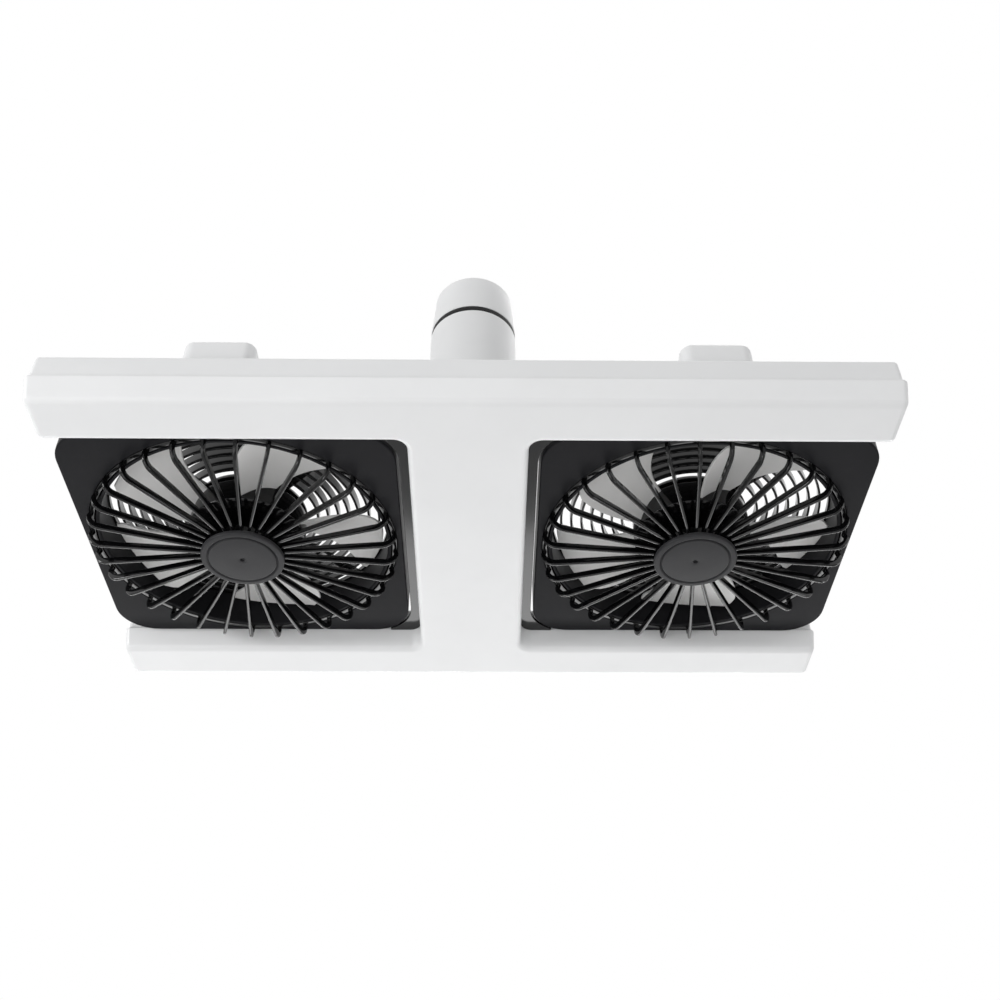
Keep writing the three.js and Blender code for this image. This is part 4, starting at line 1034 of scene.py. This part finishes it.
@dataclass
class Head:
    """A square head: case, guard, disc, rear grille and the fan in it."""

    side: Side
    offset: float = 106.3
    length: float = 149.0
    depth: float = 146.0
    corner: float = 18.0
    panel: float = 9.0
    case_top: float = 26.0
    front_round: float = 0.8
    seat_radius: float = 72.0
    seat_top: float = 11.6
    lip_radius: float = 68.7
    duct_radius: float = 67.1
    ribs: int = 32
    rib_width: float = 2.1
    rib_front: float = 0.65
    rib_height: float = 3.0
    rib_foot_height: float = 2.1
    rib_level: float = 1.8
    rib_bend: float = 5.5
    rib_bend_start: float = 65.95
    rib_tuck: float = 3.0
    rib_foot_depth: float = 0.8
    foot_inner: float = 69.33
    foot_outer: float = 71.7
    disc_radius: float = 19.5
    disc_back: float = -0.3
    disc_face: float = -2.3
    guard_ring_width: float = 4.6
    guard_ring_height: float = 4.0
    rear_thickness: float = 2.2
    rear_inset: float = 0.15
    rear_gap: float = 0.05
    rear_overlap: float = 0.8
    spokes: int = 4
    spoke_width: float = 3.6
    spoke_overlap: float = 2.0
    louver_width: float = 1.2
    louver_pitches: int = 8
    louver_front: float = 1.1
    louver_back: float = 1.9
    hub_radius: float = 26.0
    hub_face: float = 11.0
    hub_top: float = 24.0
    sleeve_wall: float = 1.6
    ring_wall: float = 0.8
    blades: int = 5
    blade_root_span: float = 34.0
    blade_span_growth: float = 12.0
    blade_sweep: float = 14.0
    blade_rise: float = 9.5
    blade_taper: float = 0.25
    blade_camber: float = 1.6
    blade_wall: float = 1.3
    blade_edge: float = 0.4
    blade_tip_gap: float = 2.6
    blade_trim: float = 0.15
    facets: int = 144
    corner_facets: int = 12

    @property
    def x(self) -> float:
        """The head's axis along X, in metres."""
        return self.side.direction * self.offset * MM

    @property
    def body(self) -> str:
        """The body that the case and the guards move with."""
        return f"head_{self.side.value}"

    @property
    def fan(self) -> str:
        """The body that the blades move with."""
        return f"fan_{self.side.value}"

    def named(self, label: str) -> str:
        """A piece's name with the side added."""
        return f"{label}_{self.side.value}"

    def turned(self, label: str, corners: Sequence[tuple[float, float, float]], arcs: int = 3,
               steps: int = 96) -> Piece:
        """Spins a profile with rounded corners about the head's axis.

        Args:
            label: the piece's name without its side.
            corners: (radius, height, rounding) in millimetres.
            arcs: straight pieces in each rounded corner.
            steps: facets round the axis.

        Returns:
            The turned piece.
        """
        return lathe(self.named(label), fillet(corners, arcs), steps, self.x)

    def square(self, name: str, inset: float, height: float) -> Piece:
        """Draws the head's rounded square outline.

        Args:
            name: the piece's name.
            inset: how far it is brought in.
            height: its height above the housing's underside.

        Returns:
            The outline, in edit mode.
        """
        half_x = (self.length / 2 - inset) * MM
        half_y = (self.depth / 2 - inset) * MM
        z = level(height)
        corners = [(-half_x, -half_y), (half_x, -half_y), (half_x, half_y), (-half_x, half_y)]
        piece = draw(name, [(self.x + x, y, z) for x, y in corners], closed=True)
        bpy.ops.mesh.bevel(offset=max(self.corner - inset, 1) * MM, segments=self.corner_facets,
                           affect="VERTICES")
        pick(piece, Element.EDGE, lambda a, b: (a - b).length > self.length / 2 * MM)
        bpy.ops.mesh.subdivide(number_cuts=self.facets // 4 - self.corner_facets - 1)
        return piece

    def circle(self, name: str, radius: float, height: float) -> Piece:
        """Adds a circle about the head's axis.

        Args:
            name: the piece's name.
            radius: its radius.
            height: its height above the housing's underside.

        Returns:
            The circle, in edit mode and selected.
        """
        object_mode()
        bpy.ops.mesh.primitive_circle_add(
            vertices=self.facets, radius=radius * MM, location=(self.x, 0, level(height)),
            fill_type="NOTHING")
        piece = bpy.context.object
        piece.name = name
        bpy.ops.object.transform_apply(location=True, rotation=False, scale=False)
        edit(piece)
        bpy.ops.mesh.select_all(action="SELECT")
        return piece

    def radial(self, factor: float) -> None:
        """Scales the selection about the head's axis."""
        bpy.ops.transform.resize(value=(factor, factor, 1), center_override=(self.x, 0, 0))

    def rise(self, amount: float) -> None:
        """Extrudes the selected edges upwards by millimetres."""
        bpy.ops.mesh.extrude_region_move(TRANSFORM_OT_translate={"value": (0, 0, amount * MM)})

    def case(self) -> Piece:
        """Makes the front case: panel, skirt, the guard's groove, its lip and the duct.

        Returns:
            The case.
        """
        profile = [
            (self.seat_radius, self.panel), (self.seat_radius, self.seat_top),
            (self.lip_radius, self.seat_top), (self.lip_radius, self.panel),
            (self.duct_radius + self.front_round, self.panel),
            (self.duct_radius + self.front_round * 0.3, self.panel + self.front_round * 0.3),
            (self.duct_radius, self.panel + self.front_round), (self.duct_radius, self.case_top)]
        inside = self.circle(self.named("case_skin"), *profile[0])
        for (old_radius, old_height), (radius, height) in zip(profile, profile[1:]):
            self.rise(height - old_height)
            self.radial(radius / old_radius)
        outside = self.square("case_outline", 0, self.panel)
        bpy.ops.mesh.select_all(action="SELECT")
        self.rise(self.case_top - self.panel)
        piece = weld([inside, outside], inside.name)
        middle = Vector((self.x, 0))
        for height, least in ((self.panel, self.seat_radius - 0.5), (self.case_top, 0.0)):
            flat = at_level(level(height))
            pick(piece, Element.EDGE, lambda a, b: flat(a, b) and (a.xy - middle).length > least * MM)
            bpy.ops.mesh.bridge_edge_loops()
        clean(piece)
        z = level(self.panel) + LEVEL_MARGIN
        pick(piece, Element.EDGE, lambda a, b: a.z < z and b.z < z
             and min((a.xy - middle).length, (b.xy - middle).length) > (self.seat_radius + 0.6) * MM
             and self.on_outline(a) and self.on_outline(b))
        bpy.ops.mesh.bevel(offset=self.front_round * MM, segments=4, affect="EDGES")
        return round_edges(piece, 0.12, angle=40)

    def on_outline(self, place: Vector) -> bool:
        """Whether a place lies on the head's outer outline."""
        x = abs(place.x - self.x) / MM
        y = abs(place.y) / MM
        if x > self.length / 2 - OUTLINE_MARGIN or y > self.depth / 2 - OUTLINE_MARGIN:
            return True
        dx, dy = x - (self.length / 2 - self.corner), y - (self.depth / 2 - self.corner)
        return dx > 0 and dy > 0 and abs(math.hypot(dx, dy) - self.corner) < ARC_MARGIN

    def rib(self) -> Piece:
        """Makes one guard rib: a bar, slimmer in front, that runs out straight and bends up to its foot.

        Returns:
            The rib, along +X from the axis.
        """
        back, front, half_h = self.rib_width / 2, self.rib_width * self.rib_front / 2, self.rib_height / 2
        face_x = self.x + self.rib_bend_start * MM
        section = fillet([(0, half_h, 0), (back, half_h, 0.3), (front, -half_h, 0.5), (-front, -half_h, 0.5),
                          (-back, half_h, 0.3), (0, half_h, 0)], steps=3)[:-1]
        piece = draw(self.named("rib"), [(face_x, across * MM, level(self.rib_level + along))
                                         for across, along in section], closed=True)
        bpy.ops.mesh.edge_face_add()
        inward = (self.disc_radius - self.rib_tuck) - self.rib_bend_start
        bpy.ops.mesh.extrude_region_move(TRANSFORM_OT_translate={"value": (inward * MM, 0, 0)})
        pick(piece, Element.FACE,
             lambda place, normal: abs(place.x - face_x) < SAME_LEVEL and abs(normal.x) > SQUARE_ON)
        centre = Vector((face_x, 0, level(self.rib_level + self.rib_bend)))
        bpy.ops.mesh.spin(steps=8, angle=math.radians(90), axis=(0, 1, 0), center=centre)
        bpy.ops.object.mode_set(mode="OBJECT")
        loss = (1 - self.rib_foot_height / self.rib_height) / math.radians(90)
        for corner in piece.data.vertices:
            out = Vector((corner.co.x - centre.x, corner.co.z - centre.z))
            turn = math.atan2(out.x, -out.y)
            if out.x > SAME_PLACE:
                radius = self.rib_bend * MM + (out.length - self.rib_bend * MM) * (1 - loss * turn)
                corner.co.x = centre.x + radius * math.sin(turn)
                corner.co.z = centre.z - radius * math.cos(turn)
        pick(piece, Element.FACE,
             lambda place, normal: abs(place.z - centre.z) < SAME_LEVEL and abs(normal.z) > SQUARE_ON)
        foot = (self.foot_inner + self.foot_outer) / 2 - self.rib_bend_start - self.rib_bend
        rise = self.panel + self.rib_foot_depth - self.rib_level - self.rib_bend
        bpy.ops.mesh.extrude_region_move(TRANSFORM_OT_translate={"value": (foot * MM, 0, rise * MM)})
        return clean(piece)

    def guard(self) -> Piece:
        """Makes the front guard: ribs, the ring behind the disc and the foot ring.

        Returns:
            The guard.
        """
        outer, inner = self.foot_outer, self.foot_inner
        foot_top = self.seat_top - 0.1
        ring_low = self.disc_back + 0.1
        ring_top = ring_low + self.guard_ring_height
        ring_outer = self.disc_radius - 0.5
        ring_inner = ring_outer - self.guard_ring_width
        hub = self.turned("guard_skin", [
            (ring_inner, ring_low, 0), (ring_outer, ring_low, 0.4),
            (ring_outer, ring_top, 0.8), (ring_inner, ring_top, 0)])
        foot = self.turned("guard_foot", [
            (inner, foot_top, 0), (inner, self.panel, 0.4), (outer, self.panel, 0.4),
            (outer, foot_top, 0)], steps=128)
        ribs = turned_copies(self.rib(), self.ribs, self.x, math.pi / self.ribs)
        return smooth(clean(unite(hub, [foot, *ribs])), 38)

    def disc(self) -> Piece:
        """Makes the plain disc with its groove and centre dimple.

        Returns:
            The disc.
        """
        groove = self.disc_radius - 2.6
        face, back = self.disc_face, self.disc_back
        return smooth(self.turned("guard_disc", [
            (0, face + 1.2, 0), (0.9, face + 1.1, 0.2), (1.1, face + 0.1, 0.1), (1.4, face - 0.05, 0.15),
            (1.7, face + 0.1, 0.1), (2.0, face, 0.1), (groove - 1.3, face, 0.3),
            (groove - 0.9, face + 0.9, 0.3), (groove, face + 0.1, 0.4),
            (self.disc_radius - 0.3, face + 0.25, 0.6),
            (self.disc_radius, face + 0.9, 0.5), (self.disc_radius, back, 0.2), (0, back, 0)],
            arcs=4, steps=128), 60)

    def rear(self) -> Piece:
        """Makes the rear grille: square plate, rings, spokes and the motor's mount.

        Returns:
            The grille.
        """
        base = self.case_top + self.rear_gap
        top = base + self.rear_thickness
        hole = self.circle(self.named("rear_skin"), self.duct_radius - self.rear_overlap, base)
        self.rise(self.rear_thickness)
        outline = self.square("rear_outline", self.rear_inset, base)
        bpy.ops.mesh.select_all(action="SELECT")
        self.rise(self.rear_thickness)
        plate = weld([hole, outline], hole.name)
        for height in (base, top):
            pick(plate, Element.EDGE, at_level(level(height)))
            bpy.ops.mesh.bridge_edge_loops()
        clean(plate)
        mount_radius = self.hub_radius + self.sleeve_wall
        parts = [self.turned("rear_mount", [
            (0, base, 0), (mount_radius, base, 0.4), (mount_radius - 0.4, top, 0.9),
            (mount_radius - 5, top, 0.6), (mount_radius - 6, top - 0.7, 0.6), (4.2, top - 0.7, 0.3),
            (3.8, top, 0.3), (0, top, 0)])]
        reach = self.duct_radius - mount_radius
        low, high = base - self.louver_front, top + self.louver_back
        for index in range(1, self.louver_pitches):
            radius = mount_radius + reach * index / self.louver_pitches
            inner, outer = radius - self.louver_width / 2, radius + self.louver_width / 2
            parts.append(self.turned(f"rear_ring_{index}", [
                (inner, (low + high) / 2, 0), (inner, low, 0.4), (outer, low, 0.4),
                (outer, high, 0.4), (inner, high, 0.4), (inner, (low + high) / 2, 0)], arcs=2))
        size = (reach + self.spoke_overlap, self.spoke_width, self.rear_thickness - 0.1)
        place = (self.x + (mount_radius + reach / 2) * MM, 0, level((base + top) / 2))
        spoke = box(self.named("rear_spoke"), size, place)
        parts += turned_copies(spoke, self.spokes, self.x, math.pi / self.spokes)
        return round_edges(clean(unite(plate, parts)), 0.25, angle=50)

    def hub(self) -> Piece:
        """Makes the fan's hub.

        Returns:
            The hub.
        """
        rim = self.hub_radius + self.sleeve_wall
        low, top = self.hub_face, self.hub_top
        inner = self.hub_radius - 1.6
        slot_outer = self.hub_radius + self.ring_wall + 0.15
        return smooth(self.turned("hub_skin", [
            (0, low + 0.5, 0), (2.6, low + 0.5, 0.2), (3.0, low, 0.2), (self.hub_radius - 4.5, low, 1.2),
            (self.hub_radius - 1, low + 0.7, 1.0), (rim, low + 1.1, 0.6), (rim, top - 0.3, 0.2),
            (slot_outer, top - 0.3, 0), (slot_outer, low + 1.9, 0), (self.hub_radius, low + 1.9, 0),
            (self.hub_radius, top, 0.3), (inner, top, 0.3), (inner, low + 1.6, 0.6),
            (0, low + 1.6, 0)], arcs=4), SMOOTH_ANGLE)

    def blade(self) -> Piece:
        """Makes one blade from a grid: swept, pitched, cambered and tapered.

        Returns:
            The blade, about +X from the axis.
        """
        object_mode()
        bpy.ops.mesh.primitive_grid_add(x_subdivisions=16, y_subdivisions=18, size=1, location=(0, 0, 0))
        piece = bpy.context.object
        piece.name = self.named("blade")
        root, tip = self.hub_radius + self.ring_wall / 2, self.duct_radius - self.blade_tip_gap
        middle = (self.hub_face + 2 + self.hub_top) / 2
        for corner in piece.data.vertices:
            share = corner.co.x + 0.5
            along = corner.co.y + 0.5
            radius = root + (tip - root) * share
            span = math.radians(self.blade_root_span + self.blade_span_growth * share)
            lead = math.radians(self.blade_sweep) * share * share
            near_tip = max(0.0, share - (1 - self.blade_trim)) / self.blade_trim
            trim = 1 - self.blade_trim * near_tip ** 2 * abs(2 * along - 1) ** 3
            angle = lead + span * (along - 0.5) * trim
            rise = self.blade_rise * (1 - self.blade_taper * share) * (along - 0.5)
            rise += self.blade_camber * math.sin(math.pi * along)
            corner.co = (self.x + radius * math.cos(angle) * MM, radius * math.sin(angle) * MM,
                         level(middle + rise))
        activate(piece)
        apply_modifier("SOLIDIFY", thickness=self.blade_wall * MM, offset=0)
        return clean(round_edges(piece, self.blade_edge, angle=50))

    def impeller(self) -> Piece:
        """Makes the blades on their sleeve, which sits in the hub's slot.

        Returns:
            The impeller.
        """
        inner, outer = self.hub_radius + 0.05, self.hub_radius + self.ring_wall
        low, top = self.hub_face + 2, self.hub_top - 0.3
        sleeve = self.turned("impeller_skin", [
            (inner, low, 0), (outer, low, 0.4), (outer, top, 0.4), (inner, top, 0)])
        return smooth(clean(unite(sleeve, turned_copies(self.blade(), self.blades, self.x))))

    def build(self, finishes: Finishes) -> None:
        """Makes the head's pieces.

        Args:
            finishes: materials by slot.
        """
        side = self.side.value
        for maker, body, slot, node in (
            (self.case, self.body, "panel_black", "head_case"),
            (self.guard, self.body, "gloss_black", "front_guard"),
            (self.disc, self.body, "disc_grey", "guard_badge"),
            (self.rear, self.body, "gloss_black", "rear_grille"),
            (self.hub, self.fan, "gloss_black", "fan_hub"),
            (self.impeller, self.fan, "blade_grey", "fan_blades"),
        ):
            place_on(maker(), body, slot, f"{node}_{side}", finishes)


# ---------------------------------------------------------------- stage


@dataclass
class Studio:
    """Floor, soft lights and the camera that looks up from below and in front."""

    eye: tuple[float, float, float] = (0.0084, -0.4274, -0.5396)
    yaw: float = 0.0142
    pitch: float = 0.7167
    roll: float = -0.0051
    lens: float = 41.57
    sensor: float = 36.0
    near_clip: float = 0.01
    floor_size: float = 14.0
    floor_level: float = -0.80
    floor_lift: float = 0.32
    sky: float = 0.45
    aim: tuple[float, float, float] = (0.0, 0.0, -0.17)

    def camera(self) -> None:
        """Sets the camera at the photograph's viewing angle."""
        forward = Vector((math.sin(self.yaw) * math.cos(self.pitch),
                          math.cos(self.yaw) * math.cos(self.pitch), math.sin(self.pitch)))
        right = Vector((math.cos(self.yaw), -math.sin(self.yaw), 0))
        up = right.cross(forward)
        tilted = right * math.cos(self.roll) + up * math.sin(self.roll)
        up = tilted.cross(forward)
        data = bpy.data.cameras.new("view")
        data.lens = self.lens
        data.sensor_width = self.sensor
        data.clip_start = self.near_clip
        camera = bpy.data.objects.new("view", data)
        bpy.context.scene.collection.objects.link(camera)
        axes = Matrix((tilted, up, -forward)).transposed()
        camera.matrix_world = Matrix.Translation(self.eye) @ axes.to_4x4()
        bpy.context.scene.camera = camera

    def lamp(self, name: str, place: Sequence[float], size: tuple[float, float], power: float) -> None:
        """Adds a soft light that faces the fan.

        Args:
            name: its name.
            place: where it stands.
            size: its width and height in metres.
            power: in watts.
        """
        data = bpy.data.lights.new(name, "AREA")
        data.shape = "RECTANGLE"
        data.size, data.size_y = size
        data.energy = power
        light = bpy.data.objects.new(name, data)
        bpy.context.scene.collection.objects.link(light)
        light.location = place
        light.rotation_euler = (Vector(self.aim) - Vector(place)).to_track_quat("-Z", "Y").to_euler()

    def world(self) -> None:
        """Lights from all round, and shows white to the camera, to gloss and through glass."""
        world = bpy.data.worlds.new("white_room")
        bpy.context.scene.world = world
        world.use_nodes = True
        bench = ShaderBench(world.node_tree)
        world.node_tree.nodes.clear()
        white = (1, 1, 1, 1)
        room = bench.add("ShaderNodeBackground", {"Color": white, "Strength": self.sky})
        plain = bench.add("ShaderNodeBackground", {"Color": white, "Strength": 1.0})
        path = bench.add("ShaderNodeLightPath").outputs
        seen = bench.math("MAXIMUM", path["Is Camera Ray"], path["Is Glossy Ray"])
        shown = bench.math("MAXIMUM", seen, path["Is Transmission Ray"])
        mix = bench.add("ShaderNodeMixShader", {
            "Fac": shown, 1: room.outputs["Background"], 2: plain.outputs["Background"]})
        bench.add("ShaderNodeOutputWorld", {"Surface": mix.outputs["Shader"]})

    def floor(self) -> None:
        """Lays a plain pale floor below the camera."""
        object_mode()
        bpy.ops.mesh.primitive_plane_add(size=self.floor_size, location=(0, 0, self.floor_level))
        floor = bpy.context.object
        floor.name = "floor"
        material = bpy.data.materials.new("pale_floor")
        material.use_nodes = True
        bench = ShaderBench(material.node_tree)
        seen = bench.add("ShaderNodeLightPath").outputs["Is Camera Ray"]
        bench.feed(material.node_tree.nodes["Principled BSDF"], {
            "Roughness": 0.9, "Emission Color": (1, 1, 1, 1),
            "Base Color": bench.mix(seen, (0.66, 0.66, 0.66, 1), (0.90, 0.90, 0.90, 1)),
            "Emission Strength": bench.math("MULTIPLY", seen, self.floor_lift)})
        floor.data.materials.append(material)

    def build(self) -> None:
        """Sets the stage."""
        self.camera()
        self.world()
        self.floor()
        self.lamp("key", (-1.3, -0.7, -0.30), (0.4, 0.4), 8.8)
        self.lamp("side", (1.25, -0.4, -0.42), (0.3, 0.3), 2.0)
        self.lamp("under", (-0.25, -0.3, -0.78), (0.8, 0.8), 2.5)
        self.lamp("mirror", (0.0, 0.74, -0.78), (1.3, 0.5), 6.0)
        self.lamp("front", (0.1, -1.7, -0.25), (1.2, 0.15), 2.5)
        self.lamp("rim", (0.0, 1.5, -0.28), (2.4, 0.15), 8.0)
        self.lamp("top", (0.2, 0.4, 1.5), (1.6, 1.6), 9.0)
        bpy.context.scene.view_settings.view_transform = "Standard"


KEPT_NODES = {
    "swivel_tube": "steel", "swivel_nut": "brass_contact", "driver_board": "board_green",
    "driver_coil": "copper_winding", "driver_capacitor": "gloss_black",
}
KEPT_PER_SIDE = {
    "detent_spring_near": "steel", "detent_spring_far": "steel",
    "tilt_pin_near": "steel", "tilt_pin_far": "steel",
    "stator": "copper_winding", "motor_board": "board_green", "bearing": "brass_contact",
    "rotor_magnet": "magnet_ferrite", "shaft": "steel",
}


def dress_kept_nodes(finishes: Finishes) -> None:
    """Gives the pieces inside their finishes; their shapes stay as they are.

    Args:
        finishes: materials by slot.
    """
    kept = dict(KEPT_NODES)
    for side in Side:
        kept.update({f"{node}_{side.value}": slot for node, slot in KEPT_PER_SIDE.items()})
    for node, slot in kept.items():
        piece = frame["nodes"][node]
        piece.data.materials.clear()
        piece.data.materials.append(finishes[slot])


def main() -> None:
    """Builds the stage, the finishes and every sub-assembly."""
    logging.basicConfig(level=logging.INFO, format="%(name)s %(message)s")
    groups = {"moulded": moulded_surface(), "metal": metal_surface()}
    finishes = {finish.name: finish.build(groups) for finish in FINISHES}
    Studio().build()
    Housing().build(finishes)
    Post().build(finishes)
    LampCap().build(finishes)
    for side in Side:
        Head(side).build(finishes)
    dress_kept_nodes(finishes)


if __name__ == "__main__":
    main()
